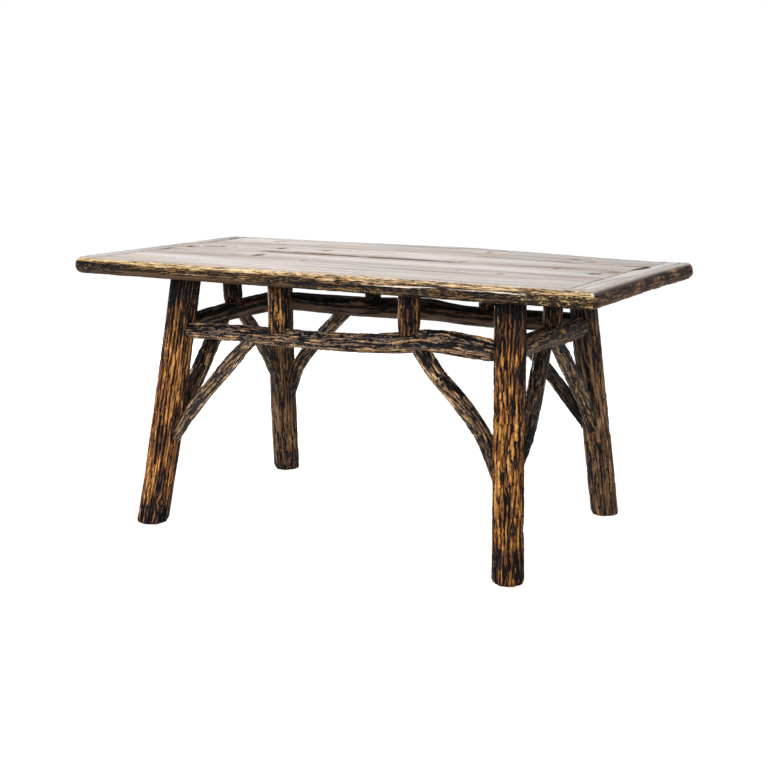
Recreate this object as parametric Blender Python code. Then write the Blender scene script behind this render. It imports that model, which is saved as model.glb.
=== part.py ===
# A rustic dining table: a plank top with breadboard ends and a split-log edging, carried by four
# splayed log legs that are tied by four rails, six short posts and eight bent braces.
# Metres, +Z up, +X along the top, -Y towards the side that faces the viewer.
import bmesh
import bpy
from mathutils import Vector

# Overall sizes
TABLE_HEIGHT = 0.762
TOP_LENGTH = 1.581
TOP_WIDTH = 0.813
FIT = 0.0003  # gap left between pieces that touch
OVERRUN = 0.03  # how far a cutter or a tenon's root runs past the face it serves

# Boards of the top, with the Y of the three seams between the four planks
BOARD_THICKNESS = 0.036
BREADBOARD_WIDTH = 0.0485
SEAM_FRONT = -0.188
SEAM_MIDDLE = 0.012
SEAM_BACK = 0.194
TONGUE_THICKNESS = 0.010
TONGUE_REACH = 0.008
END_TONGUE_THICKNESS = 0.016
END_TONGUE_REACH = 0.015

# Split-log edging around the boards
EDGING_HEIGHT = 0.048
EDGING_DEPTH = 0.028
EDGING_ROUND = 0.0225
EDGING_SEGMENTS = 6
CORNER_ROUND = 0.0235
CORNER_SEGMENTS = 4

# Cross cleats under the boards, which take the tenons of the legs and posts
CLEAT_THICKNESS = 0.020
CLEAT_WIDTH = 0.090
CLEAT_END = 0.046  # length past the axes of the two leg heads that a cleat takes

# Legs: how far inside the edge of the top their axes meet the cleats, and how far they splay
LEG_INSET_X = 0.2855
LEG_INSET_Y = 0.1565
SPLAY_X = 0.055
SPLAY_Y = 0.112
FOOT_ARRIS = 0.004
LEG_TENON_RADIUS = 0.021

# Joints of the rails, posts and braces
RAIL_TENON_RADIUS = 0.014
TENON_SPACING = 0.004  # wood left between the two tenons that meet in a leg
POST_TENON_RADIUS = 0.012
MORTISE_FLOOR = 0.002  # how far above a rail's axis its post mortises stop
BRACE_BITE = 0.016  # how far a brace's axis runs into the leg before it is scribed away

# Cut nails: one at each end of a brace and one through each rail tenon
NAIL_RADIUS = 0.0022
NAIL_HEAD_RADIUS = 0.0045
NAIL_HEAD_THICKNESS = 0.0016
NAIL_SINK = 0.006  # how deep a nail head lies under the bark
NAIL_TIP = 0.005  # how far past a tenon, or short of an axis, a nail stops
BRACE_NAIL_PLACE = 0.055  # distance of the nails from either end of a brace's axis

# Facets
LEG_RINGS = 10
RAIL_RINGS = 20
POST_RINGS = 5
BRACE_RINGS = 12
POLE_RESOLUTION = 5
BRACE_RESOLUTION = 4
TENON_SIDES = 12
NAIL_RESOLUTION = 2
WELD = 1e-5  # vertices this close are one

# A pole's stations along its axis: share of the length, sideways bend, rise, radius
LEG_STATIONS = {
    "front_left": (
        (0, 0, 0, 0.0445),
        (0.35, 0.005, 0, 0.0450),
        (0.7, 0.004, 0, 0.0440),
        (1, 0.002, 0, 0.0430),
    ),
    "front_right": (
        (0, 0.003, 0, 0.0415),
        (0.3, 0.001, 0, 0.0405),
        (0.7, 0.001, 0, 0.0410),
        (1, 0, 0, 0.0410),
    ),
    "back_left": (
        (0, 0.003, 0, 0.0420),
        (0.35, -0.002, 0, 0.0415),
        (0.7, -0.004, 0, 0.0410),
        (1, 0, 0, 0.0400),
    ),
    "back_right": (
        (0, 0.003, 0, 0.0405),
        (0.3, 0.002, 0, 0.0400),
        (0.7, 0.001, 0, 0.0400),
        (1, 0, 0, 0.0390),
    ),
}

RAIL_STATIONS = {
    "front": (
        (0, 0, 0, 0.0225),
        (0.2, 0, 0.0005, 0.0240),
        (0.5, 0, -0.0045, 0.0265),
        (0.66, 0, 0.001, 0.0275),
        (0.8, 0, 0.016, 0.0315),
        (0.87, 0, 0.009, 0.0320),
        (0.95, 0, 0.001, 0.0290),
        (1, 0, 0, 0.0280),
    ),
    "back": (
        (0, 0, 0, 0.0290),
        (0.25, 0, -0.002, 0.0310),
        (0.44, 0, 0.003, 0.0330),
        (0.51, 0, 0.006, 0.0345),
        (0.58, 0, -0.001, 0.0310),
        (0.67, 0, -0.006, 0.0300),
        (1, 0, 0, 0.0285),
    ),
    "left": (
        (0, 0, 0, 0.0250),
        (0.2, 0, 0.004, 0.0265),
        (0.5, 0, 0.006, 0.0285),
        (0.85, 0, 0.002, 0.0315),
        (1, 0, 0, 0.0300),
    ),
    "right": (
        (0, 0, 0, 0.0300),
        (0.35, 0, 0.002, 0.0290),
        (0.65, 0, -0.002, 0.0310),
        (1, 0, 0, 0.0295),
    ),
}

# Rails: the two legs they join and how far below the leg tops their axis meets each
RAIL_ENDS = {
    "front": ("front_left", 0.1504, "front_right", 0.1294),
    "back": ("back_left", 0.1274, "back_right", 0.1244),
    "left": ("front_left", 0.1414, "back_left", 0.1244),
    "right": ("front_right", 0.1284, "back_right", 0.1284),
}

# Posts: rail, place along it at the foot and at the head, radius at the foot and at the head,
# and the share of the rail's radius at which the saddle of the foot starts
POSTS = {
    "front_left": ("front", -0.173, -0.173, 0.0310, 0.0315, 0.1),
    "front_right": ("front", 0.228, 0.228, 0.0305, 0.0295, 0.4),
    "back_left": ("back", -0.178, -0.178, 0.0265, 0.0260, 0.5),
    "back_right": ("back", 0.207, 0.207, 0.0255, 0.0250, 0.5),
    "left_end": ("left", 0.004, -0.006, 0.0295, 0.0280, 0.4),
    "right_end": ("right", 0.018, 0.018, 0.0280, 0.0270, 0.4),
}

# Braces: leg, rail, how far below the leg tops the foot is, and how far from the middle of the
# table the head is
BRACES = {
    "front_left_side": ("front_left", "front", 0.4504, 0.2552),
    "front_left_end": ("front_left", "left", 0.4354, 0.0475),
    "back_left_end": ("back_left", "left", 0.3934, 0.0447),
    "back_left_side": ("back_left", "back", 0.4354, 0.2628),
    "front_right_side": ("front_right", "front", 0.4484, 0.2538),
    "front_right_end": ("front_right", "right", 0.4434, 0.0354),
    "back_right_end": ("back_right", "right", 0.4304, 0.0304),
    "back_right_side": ("back_right", "back", 0.4304, 0.2633),
}

# The rise of a brace is its bow towards the corner of leg and rail
BRACE_STATIONS = {
    "front_left_side": (
        (0, 0, 0, 0.0210),
        (0.37, 0, 0.006, 0.0200),
        (0.72, 0, 0.003, 0.0215),
        (1, 0, 0, 0.0190),
    ),
    "front_left_end": (
        (0, 0, 0, 0.0240),
        (0.35, 0, -0.007, 0.0255),
        (0.6, 0, -0.006, 0.0255),
        (1, 0, 0, 0.0240),
    ),
    "back_left_end": (
        (0, 0, 0, 0.0220),
        (0.2, 0, 0.010, 0.0220),
        (0.5, 0, 0.006, 0.0215),
        (1, 0, -0.003, 0.0205),
    ),
    "back_left_side": (
        (0, 0, 0, 0.0225),
        (0.18, 0, 0.022, 0.0225),
        (0.4, 0, 0.027, 0.0225),
        (1, 0, 0, 0.0225),
    ),
    "front_right_side": (
        (0, 0, 0, 0.0215),
        (0.22, 0, 0.021, 0.0220),
        (0.41, 0, 0.0205, 0.0230),
        (0.64, 0, 0.0075, 0.0230),
        (0.77, 0, -0.0035, 0.0235),
        (0.9, 0, -0.003, 0.0235),
        (1, 0, 0, 0.0225),
    ),
    "front_right_end": (
        (0, 0, 0, 0.0190),
        (0.14, 0, -0.015, 0.0195),
        (0.3, 0, -0.031, 0.0210),
        (0.5, 0, -0.024, 0.0225),
        (0.75, 0, -0.009, 0.0235),
        (1, 0, 0, 0.0235),
    ),
    "back_right_end": (
        (0, 0, 0, 0.0220),
        (0.24, 0, 0.011, 0.0220),
        (0.48, 0, 0.008, 0.0225),
        (1, 0, -0.003, 0.0220),
    ),
    "back_right_side": (
        (0, 0, 0, 0.0195),
        (0.28, 0, 0.004, 0.0195),
        (0.46, 0, 0.007, 0.0200),
        (1, 0, 0, 0.0200),
    ),
}

# Colours from the photograph (linear RGB), roughness and metallic value
FINISHES = {
    "plank": ((0.41, 0.36, 0.31), 0.62, 0.0),
    "breadboard": ((0.36, 0.33, 0.31), 0.60, 0.0),
    "edging": ((0.13, 0.085, 0.040), 0.48, 0.0),
    "leg": ((0.14, 0.070, 0.028), 0.50, 0.0),
    "rail": ((0.11, 0.065, 0.035), 0.50, 0.0),
    "post": ((0.13, 0.068, 0.028), 0.50, 0.0),
    "brace": ((0.10, 0.055, 0.030), 0.45, 0.0),
    "cleat": ((0.26, 0.19, 0.12), 0.70, 0.0),
    "nail": ((0.05, 0.045, 0.040), 0.55, 0.9),
}

X = Vector((1, 0, 0))
Y = Vector((0, 1, 0))
Z = Vector((0, 0, 1))

# Levels and lengths that follow from the sizes above
BOARD_BOTTOM = TABLE_HEIGHT - BOARD_THICKNESS
BOARD_MIDDLE = TABLE_HEIGHT - BOARD_THICKNESS / 2
CLEAT_TOP = BOARD_BOTTOM - FIT
CLEAT_BOTTOM = CLEAT_TOP - CLEAT_THICKNESS
LEG_TOP = CLEAT_BOTTOM - FIT
FIELD_LENGTH = TOP_LENGTH - 2 * EDGING_DEPTH
FIELD_WIDTH = TOP_WIDTH - 2 * EDGING_DEPTH
END_SEAM = FIELD_LENGTH / 2 - BREADBOARD_WIDTH
HEAD_X = TOP_LENGTH / 2 - LEG_INSET_X
HEAD_Y = TOP_WIDTH / 2 - LEG_INSET_Y


class Pole:
    # A log with a bent axis and a varying girth: a straight axis and stations along it
    def __init__(self, start, end, side, rise, stations):
        self.start = Vector(start)
        self.end = Vector(end)
        self.side = side
        self.rise = rise
        self.knots = [Vector(station) for station in stations]

    def station(self, share):
        # A cubic through the stations, so that bends and swellings run smoothly
        knots = self.knots
        i = 0
        while i < len(knots) - 2 and share > knots[i + 1][0]:
            i += 1
        a, b = knots[i], knots[i + 1]
        before = knots[max(i - 1, 0)]
        after = knots[min(i + 2, len(knots) - 1)]
        span = b[0] - a[0]
        t = (share - a[0]) / span
        leave = (b - before) * (span / (b[0] - before[0]))
        arrive = (after - a) * (span / (after[0] - a[0]))
        return (
            a * (2 * t**3 - 3 * t**2 + 1)
            + leave * (t**3 - 2 * t**2 + t)
            + b * (3 * t**2 - 2 * t**3)
            + arrive * (t**3 - t**2)
        )

    def point(self, share):
        bend = self.station(share)
        return self.start.lerp(self.end, share) + self.side * bend[1] + self.rise * bend[2]

    def radius(self, share):
        return self.station(share)[3]

    def share_at(self, direction, place):
        # Share of the length at which the straight axis has this place along a direction
        first = self.start.dot(direction)
        return (place - first) / (self.end.dot(direction) - first)

    def solid(self, name, rings, resolution, before=0.0, after=0.0, grow=0.0):
        # A bevelled curve through the stations; before and after lengthen it straight on
        shares = [i / (rings - 1) for i in range(rings)]
        points = [self.point(share) for share in shares]
        radii = [self.radius(share) + grow for share in shares]
        points[0] += (points[0] - points[1]).normalized() * before
        points[-1] += (points[-1] - points[-2]).normalized() * after
        return tube(name, points, radii, resolution)


def object_of(name, bm, origin):
    mesh = bpy.data.meshes.new(name)
    bm.to_mesh(mesh)
    bm.free()
    made = bpy.data.objects.new(name, mesh)
    made.location = origin
    return made


def mesh_of_curve(name, curve, origin):
    # Booleans need a mesh, so the curve is evaluated once and its caps are welded on
    holder = bpy.data.objects.new(name, curve)
    bpy.context.scene.collection.objects.link(holder)
    evaluated = holder.evaluated_get(bpy.context.evaluated_depsgraph_get())
    bm = bmesh.new()
    bm.from_mesh(bpy.data.meshes.new_from_object(evaluated))
    bpy.data.objects.remove(holder)
    bmesh.ops.remove_doubles(bm, verts=bm.verts, dist=WELD)
    bmesh.ops.recalc_face_normals(bm, faces=bm.faces)
    return object_of(name, bm, origin)


def tube(name, points, radii, resolution):
    # A round bar through points, with its own radius at each
    origin = points[0].copy()
    curve = bpy.data.curves.new(name, "CURVE")
    curve.dimensions = "3D"
    curve.bevel_depth = 1.0
    curve.bevel_resolution = resolution
    curve.use_fill_caps = True
    spline = curve.splines.new("POLY")
    spline.points.add(len(points) - 1)
    for knot, point, radius in zip(spline.points, points, radii):
        knot.co = (*(point - origin), 1)
        knot.radius = radius
    return mesh_of_curve(name, curve, origin)


def rod(name, start, end, radius):
    # A straight round bar between two points
    bm = bmesh.new()
    length = (end - start).length
    bmesh.ops.create_cone(
        bm, cap_ends=True, segments=TENON_SIDES, radius1=radius, radius2=radius, depth=length
    )
    bmesh.ops.translate(bm, vec=Z * length / 2, verts=bm.verts)
    turn = Z.rotation_difference(end - start).to_matrix()
    bmesh.ops.rotate(bm, cent=(0, 0, 0), matrix=turn, verts=bm.verts)
    return object_of(name, bm, start)


def block(name, low, high):
    # A box between two corners, with its origin in the middle
    low = Vector(low)
    high = Vector(high)
    bm = bmesh.new()
    bmesh.ops.create_cube(bm, size=1)
    bmesh.ops.scale(bm, vec=high - low, verts=bm.verts)
    return object_of(name, bm, (low + high) / 2)


def prism(name, outline, length):
    # An outline in Y and Z, carried along X and set at the middle of the boards
    curve = bpy.data.curves.new(name, "CURVE")
    curve.dimensions = "2D"
    curve.fill_mode = "BOTH"
    curve.extrude = length / 2
    spline = curve.splines.new("POLY")
    spline.points.add(len(outline) - 1)
    spline.use_cyclic_u = True
    for knot, (y, z) in zip(spline.points, outline):
        knot.co = (y, z, 0, 1)
    made = mesh_of_curve(name, curve, Z * BOARD_MIDDLE)
    for vertex in made.data.vertices:
        y, z, x = vertex.co
        vertex.co = (x, y, z)
    return made


def trim(made, point, normal):
    # Cut off what lies past a plane and close the cut
    bm = bmesh.new()
    bm.from_mesh(made.data)
    cut = bmesh.ops.bisect_plane(
        bm,
        geom=bm.verts[:] + bm.edges[:] + bm.faces[:],
        plane_co=point - made.location,
        plane_no=normal,
        clear_outer=True,
    )
    rim = [item for item in cut["geom_cut"] if isinstance(item, bmesh.types.BMEdge)]
    bmesh.ops.contextual_create(bm, geom=rim)
    bmesh.ops.recalc_face_normals(bm, faces=bm.faces)
    bm.to_mesh(made.data)
    bm.free()


def ease_foot(made, width):
    # Chamfer the arris of the face that stands on the floor
    bm = bmesh.new()
    bm.from_mesh(made.data)
    floor = -made.location.z
    arris = [e for e in bm.edges if all(abs(v.co.z - floor) < WELD for v in e.verts)]
    bmesh.ops.bevel(bm, geom=arris, offset=width, segments=1, affect="EDGES")
    bm.to_mesh(made.data)
    bm.free()


def keep(made, finish):
    # A finished piece of the table
    parts.objects.link(made)
    made.parent = root
    made.data.materials.append(materials[finish])
    return made


def tool(made):
    # A hidden shape that only cuts or joins
    cutters.objects.link(made)
    made.hide_render = True
    made.display_type = "WIRE"
    return made


def combine(target, other, operation="DIFFERENCE"):
    modifier = target.modifiers.new(other.name, "BOOLEAN")
    modifier.operation = operation
    modifier.solver = "EXACT"
    modifier.object = other


def make_materials():
    made = {}
    for name, (colour, roughness, metallic) in FINISHES.items():
        material = bpy.data.materials.new(name)
        material.use_nodes = True
        shader = material.node_tree.nodes["Principled BSDF"]
        shader.inputs["Base Color"].default_value = (*colour, 1)
        shader.inputs["Roughness"].default_value = roughness
        shader.inputs["Metallic"].default_value = metallic
        made[name] = material
    return made


def plank_outline(low, high, grooved, tongued):
    # Section of a plank: a groove along its front edge, a tongue along its back edge
    top = BOARD_THICKNESS / 2
    lip = TONGUE_THICKNESS / 2
    slot = lip + FIT
    reach = high + TONGUE_REACH
    floor = low + TONGUE_REACH + FIT
    tongue = [(high, -lip), (reach, -lip), (reach, lip), (high, lip)]
    groove = [(low, slot), (floor, slot), (floor, -slot), (low, -slot)]
    outline = [(low, -top), (high, -top)]
    outline += tongue if tongued else []
    outline += [(high, top), (low, top)]
    outline += groove if grooved else []
    return outline


def make_planks():
    names = ["plank_front", "plank_front_middle", "plank_back_middle", "plank_back"]
    edges = [-FIELD_WIDTH / 2, SEAM_FRONT, SEAM_MIDDLE, SEAM_BACK, FIELD_WIDTH / 2]
    lip = END_TONGUE_THICKNESS / 2
    cheeks = []
    for end, low, high in (("left", -FIELD_LENGTH, -END_SEAM), ("right", END_SEAM, FIELD_LENGTH)):
        for face, bottom, top in (("lower", -BOARD_THICKNESS, -lip), ("upper", lip, BOARD_THICKNESS)):
            low_corner = (low, -TOP_WIDTH, BOARD_MIDDLE + bottom)
            high_corner = (high, TOP_WIDTH, BOARD_MIDDLE + top)
            cheeks.append(tool(block(f"cheek_{end}_{face}", low_corner, high_corner)))
    for i, name in enumerate(names):
        low = edges[i] + FIT / 2
        high = edges[i + 1] - FIT / 2
        outline = plank_outline(low, high, grooved=i > 0, tongued=i < len(names) - 1)
        plank = keep(prism(name, outline, 2 * (END_SEAM + END_TONGUE_REACH)), "plank")
        for cheek in cheeks:
            combine(plank, cheek)


def make_breadboards():
    half = FIELD_WIDTH / 2 - FIT / 2
    slot = END_TONGUE_THICKNESS / 2 + FIT
    for end, way in (("left", -1), ("right", 1)):
        near, far = sorted((way * (END_SEAM + FIT), way * (FIELD_LENGTH / 2 - FIT)))
        board = block(f"breadboard_{end}", (near, -half, BOARD_BOTTOM), (far, half, TABLE_HEIGHT))
        near, far = sorted((way * (END_SEAM - OVERRUN), way * (END_SEAM + END_TONGUE_REACH + FIT)))
        groove = block(
            f"breadboard_groove_{end}",
            (near, -TOP_WIDTH, BOARD_MIDDLE - slot),
            (far, TOP_WIDTH, BOARD_MIDDLE + slot),
        )
        combine(keep(board, "breadboard"), tool(groove))


def rounded_slab(name):
    # The outline of the whole top, with rounded corners and a half-round edge
    half = Vector((TOP_LENGTH / 2, TOP_WIDTH / 2, 0))
    slab = block(name, Z * (TABLE_HEIGHT - EDGING_HEIGHT) - half, Z * TABLE_HEIGHT + half)
    bm = bmesh.new()
    bm.from_mesh(slab.data)
    upright = [e for e in bm.edges if e.verts[0].co.z * e.verts[1].co.z < 0]
    bmesh.ops.bevel(
        bm, geom=upright, offset=CORNER_ROUND, segments=CORNER_SEGMENTS, profile=0.5, affect="EDGES"
    )
    rims = [e for e in bm.edges if e.verts[0].co.z * e.verts[1].co.z > 0]
    bmesh.ops.bevel(
        bm, geom=rims, offset=EDGING_ROUND, segments=EDGING_SEGMENTS, profile=0.5, affect="EDGES"
    )
    bm.to_mesh(slab.data)
    bm.free()
    return slab


def make_edging():
    # Each strip is the rim of the slab, cut off at the boards and at two mitres
    half_length = X * FIELD_LENGTH / 2
    half_width = Y * FIELD_WIDTH / 2
    strips = {
        "front": (-half_width, half_length),
        "back": (half_width, half_length),
        "left": (-half_length, half_width),
        "right": (half_length, half_width),
    }
    for name, (back, reach) in strips.items():
        strip = rounded_slab(f"edging_{name}")
        outward = back.normalized()
        trim(strip, back, -outward)
        for corner in (reach, -reach):
            mitre = (corner.normalized() - outward).normalized()
            trim(strip, back + corner - mitre * FIT / 2, mitre)
        keep(strip, "edging")


def make_cleats():
    made = {}
    places = {
        "left": -HEAD_X,
        "left_middle": (POSTS["front_left"][2] + POSTS["back_left"][2]) / 2,
        "right_middle": (POSTS["front_right"][2] + POSTS["back_right"][2]) / 2,
        "right": HEAD_X,
    }
    half = Vector((CLEAT_WIDTH / 2, HEAD_Y + CLEAT_END, 0))
    for name, x in places.items():
        low = Vector((x, 0, CLEAT_BOTTOM)) - half
        high = Vector((x, 0, CLEAT_TOP)) + half
        made[name] = keep(block(f"cleat_{name}", low, high), "cleat")
    return made


def join_to_cleat(piece, head, axis, radius, cleat):
    # A round tenon through a cleat, cut off level with the cleat's top
    start = head - axis * OVERRUN
    end = head + axis * (CLEAT_THICKNESS + OVERRUN)
    tenon = tool(rod(f"{piece.name}_top_tenon", start, end, radius))
    trim(tenon, Z * CLEAT_TOP, Z)
    combine(piece, tenon, "UNION")
    combine(cleat, tool(rod(f"{piece.name}_top_mortise", start, end, radius + FIT)))


def join_blind(piece, tip, root_end, radius, host):
    # A round tenon that stops inside the piece that takes it
    way = (tip - root_end).normalized()
    combine(piece, tool(rod(f"{piece.name}_{host.name}_tenon", root_end, tip, radius)), "UNION")
    hole = rod(f"{piece.name}_{host.name}_mortise", root_end, tip + way * FIT, radius + FIT)
    combine(host, tool(hole))


def make_leg(name, stations):
    across = -1 if name.endswith("left") else 1
    deep = -1 if name.startswith("front") else 1
    foot = Vector((across * (HEAD_X + SPLAY_X), deep * (HEAD_Y + SPLAY_Y), 0))
    head = Vector((across * HEAD_X, deep * HEAD_Y, LEG_TOP))
    pole = Pole(foot, head, X, Y, stations)
    leg = pole.solid(f"leg_{name}", LEG_RINGS, POLE_RESOLUTION, OVERRUN, OVERRUN)
    trim(leg, foot, -Z)
    trim(leg, head, Z)
    ease_foot(leg, FOOT_ARRIS)
    cleat = cleats["left" if across < 0 else "right"]
    join_to_cleat(keep(leg, "leg"), head, (head - foot).normalized(), LEG_TENON_RADIUS, cleat)
    scribe = pole.solid(f"leg_{name}_scribe", LEG_RINGS, POLE_RESOLUTION, OVERRUN, OVERRUN, FIT)
    return {"pole": pole, "solid": leg, "scribe": tool(scribe)}


def leg_at(leg, drop):
    # Point and radius of a leg's log at a depth below its top
    share = leg["pole"].share_at(Z, LEG_TOP - drop)
    return leg["pole"].point(share), leg["pole"].radius(share)


def make_rail(name, first, first_drop, second, second_drop):
    start, _ = leg_at(legs[first], first_drop)
    end, _ = leg_at(legs[second], second_drop)
    along = X if name in ("front", "back") else Y
    side = Z.cross(along)
    pole = Pole(start, end, side, Z, RAIL_STATIONS[name])
    rail = keep(pole.solid(f"rail_{name}", RAIL_RINGS, POLE_RESOLUTION), "rail")
    for neighbour in (legs[first], legs[second], *rails.values()):
        combine(rail, neighbour["scribe"])
    tip_reach = RAIL_TENON_RADIUS + TENON_SPACING
    for way, centre, leg, drop in (
        (along, start, legs[first], first_drop),
        (-along, end, legs[second], second_drop),
    ):
        _, leg_radius = leg_at(leg, drop)
        tip = centre + way * tip_reach
        join_blind(rail, tip, centre + way * (leg_radius + OVERRUN), RAIL_TENON_RADIUS, leg["solid"])
        nail_tenon(rail, leg, centre, way, leg_radius, tip_reach)
    scribe = tool(pole.solid(f"rail_{name}_scribe", RAIL_RINGS, POLE_RESOLUTION, grow=FIT))
    return {"pole": pole, "solid": rail, "scribe": scribe, "along": along}


def nail_tenon(rail, leg, centre, way, leg_radius, tip_reach):
    # A nail from the leg's outer face, across the middle of a rail's tenon
    across = Vector((-centre.x, 0, 0)) if way.y else Vector((0, -centre.y, 0))
    across.normalize()
    place = (tip_reach + leg_radius) / 2
    middle = centre + way * place
    depth = (leg_radius**2 - place**2) ** 0.5
    seat = middle - across * (depth - NAIL_SINK)
    tip = middle + across * (RAIL_TENON_RADIUS + NAIL_TIP)
    make_nail(f"nail_{rail.name}_{leg['solid'].name}", seat, tip, (rail, leg["solid"]))


def make_nail(name, seat, tip, pieces):
    # A nail whose head is sunk into the first piece it meets, and the holes for it
    way = (tip - seat).normalized()
    neck = seat + way * NAIL_HEAD_THICKNESS
    top = seat - way * NAIL_HEAD_THICKNESS
    radii = [NAIL_HEAD_RADIUS, NAIL_HEAD_RADIUS, NAIL_RADIUS, NAIL_RADIUS]
    keep(tube(name, [top, seat, neck, tip], radii, NAIL_RESOLUTION), "nail")
    sunk = way * FIT
    wide = [radius + FIT for radius in radii]
    path = [top - way * OVERRUN, seat + sunk, neck + sunk, tip + sunk]
    hole = tool(tube(f"{name}_hole", path, wide, NAIL_RESOLUTION))
    for piece in pieces:
        combine(piece, hole)


def make_post(name, rail_name, foot_place, head_place, foot_radius, head_radius, saddle):
    rail = rails[rail_name]
    along = rail["along"]
    share = rail["pole"].share_at(along, foot_place)
    axis_point = rail["pole"].point(share)
    rail_radius = rail["pole"].radius(share)
    foot = axis_point + Z * rail_radius * saddle
    head = axis_point + along * (head_place - foot_place)
    head.z = LEG_TOP
    stations = ((0, 0, 0, foot_radius), (1, 0, 0, head_radius))
    pole = Pole(foot, head, X, Y, stations)
    post = pole.solid(f"post_{name}", POST_RINGS, POLE_RESOLUTION, after=OVERRUN)
    trim(post, head, Z)
    keep(post, "post")
    combine(post, rail["scribe"])
    axis = (head - foot).normalized()
    tip = axis_point + axis * MORTISE_FLOOR
    join_blind(post, tip, axis_point + axis * (rail_radius + OVERRUN), POST_TENON_RADIUS, rail["solid"])
    ends = {"left_end": "left", "right_end": "right"}
    middle = "left_middle" if name.endswith("left") else "right_middle"
    join_to_cleat(post, head, axis, POST_TENON_RADIUS, cleats[ends.get(name, middle)])


def make_brace(name, leg_name, rail_name, foot_drop, head_place):
    leg = legs[leg_name]
    rail = rails[rail_name]
    along = rail["along"]
    leg_axis, leg_radius = leg_at(leg, foot_drop)
    inward = -along if leg_axis.dot(along) > 0 else along
    foot = leg_axis + inward * (leg_radius - BRACE_BITE)
    corner = rail["pole"].start if rail["pole"].start.dot(inward) < 0 else rail["pole"].end
    head = rail["pole"].point(rail["pole"].share_at(inward, -head_place))
    chord = (head - foot).normalized()
    to_corner = corner - foot
    bow = (to_corner - chord * to_corner.dot(chord)).normalized()
    pole = Pole(foot, head, chord.cross(bow), bow, BRACE_STATIONS[name])
    brace = keep(pole.solid(f"brace_{name}", BRACE_RINGS, BRACE_RESOLUTION, before=OVERRUN), "brace")
    combine(brace, leg["scribe"])
    combine(brace, rail["scribe"])
    nail_share = BRACE_NAIL_PLACE / (head - foot).length
    low = pole.point(nail_share)
    low_axis, _ = leg_at(leg, LEG_TOP - low.z)
    seat = low + inward * (pole.radius(nail_share) - NAIL_SINK)
    tip = low + inward * ((low_axis - low).dot(inward) + NAIL_TIP)
    make_nail(f"nail_brace_{name}_foot", seat, tip, (brace, leg["solid"]))
    high = pole.point(1 - nail_share)
    rail_point = rail["pole"].point(rail["pole"].share_at(along, high.dot(along)))
    seat = high - Z * (pole.radius(1 - nail_share) - NAIL_SINK)
    tip = Vector((high.x, high.y, rail_point.z - NAIL_TIP))
    make_nail(f"nail_brace_{name}_head", seat, tip, (brace, rail["solid"]))


for old in list(bpy.data.objects):
    bpy.data.objects.remove(old)
parts = bpy.data.collections.new("dining_table")
cutters = bpy.data.collections.new("dining_table_cutters")
for collection in (parts, cutters):
    bpy.context.scene.collection.children.link(collection)
root = bpy.data.objects.new("dining_table_root", None)
parts.objects.link(root)
materials = make_materials()

make_planks()
make_breadboards()
make_edging()
cleats = make_cleats()
legs = {name: make_leg(name, stations) for name, stations in LEG_STATIONS.items()}
rails = {}
for name, ends in RAIL_ENDS.items():
    rails[name] = make_rail(name, *ends)
for name, post in POSTS.items():
    make_post(name, *post)
for name, brace in BRACES.items():
    make_brace(name, *brace)
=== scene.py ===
import math
import bmesh
import bpy
import numpy as np
from mathutils import Matrix, Vector


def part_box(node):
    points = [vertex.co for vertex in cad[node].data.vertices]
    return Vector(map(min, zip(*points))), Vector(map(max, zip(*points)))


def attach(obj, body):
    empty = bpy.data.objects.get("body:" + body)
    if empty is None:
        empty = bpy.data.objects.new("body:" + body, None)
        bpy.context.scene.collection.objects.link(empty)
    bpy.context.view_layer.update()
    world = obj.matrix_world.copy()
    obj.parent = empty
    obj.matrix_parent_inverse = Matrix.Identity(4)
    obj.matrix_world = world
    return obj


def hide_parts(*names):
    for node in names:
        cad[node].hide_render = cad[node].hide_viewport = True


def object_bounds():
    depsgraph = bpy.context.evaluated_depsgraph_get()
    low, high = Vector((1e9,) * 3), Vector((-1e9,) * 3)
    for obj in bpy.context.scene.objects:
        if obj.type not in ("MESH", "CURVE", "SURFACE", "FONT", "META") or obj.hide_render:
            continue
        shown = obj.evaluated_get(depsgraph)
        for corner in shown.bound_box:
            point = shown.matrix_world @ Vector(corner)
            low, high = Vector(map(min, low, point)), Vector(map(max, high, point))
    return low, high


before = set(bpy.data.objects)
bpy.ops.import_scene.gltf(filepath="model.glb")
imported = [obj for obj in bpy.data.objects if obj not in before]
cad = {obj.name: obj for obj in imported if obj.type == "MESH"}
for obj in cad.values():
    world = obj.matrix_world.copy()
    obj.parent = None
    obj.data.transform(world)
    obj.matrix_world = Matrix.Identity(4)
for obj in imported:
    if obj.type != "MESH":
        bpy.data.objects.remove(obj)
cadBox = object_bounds()
print("frame:", len(cad), "nodes")


class Named(dict):  # values that are read by name, as in bark.drift
    __getattr__ = dict.__getitem__


# wiring for shader and geometry trees alike
class Wire:  # a node's output that can be added, scaled and so on
    def __init__(self, socket):
        self.socket, self.tree = socket, socket.id_data
        self.isVector = socket.type in ("VECTOR", "RGBA")

    def __add__(self, other):
        return reckon("ADD", self, other)

    def __sub__(self, other):
        return reckon("SUBTRACT", self, other)

    def __mul__(self, other):
        return reckon("SCALE" if self.isVector else "MULTIPLY", self, other)

    def __truediv__(self, other):
        return reckon("DIVIDE", self, other)


def feed(socket, value):
    if isinstance(value, Wire):
        value.tree.links.new(value.socket, socket)
    else:
        socket.default_value = value


def put(tree, kind, feeds=None, **settings):
    made = tree.nodes.new(kind)
    for key, value in settings.items():
        setattr(made, key, value)
    for key, value in (feeds or {}).items():
        feed(made.inputs[key], value)
    return made


def wire(tree, kind, feeds=None, output=0, **settings):  # a new node, for one of its outputs
    return Wire(put(tree, kind, feeds, **settings).outputs[output])


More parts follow.
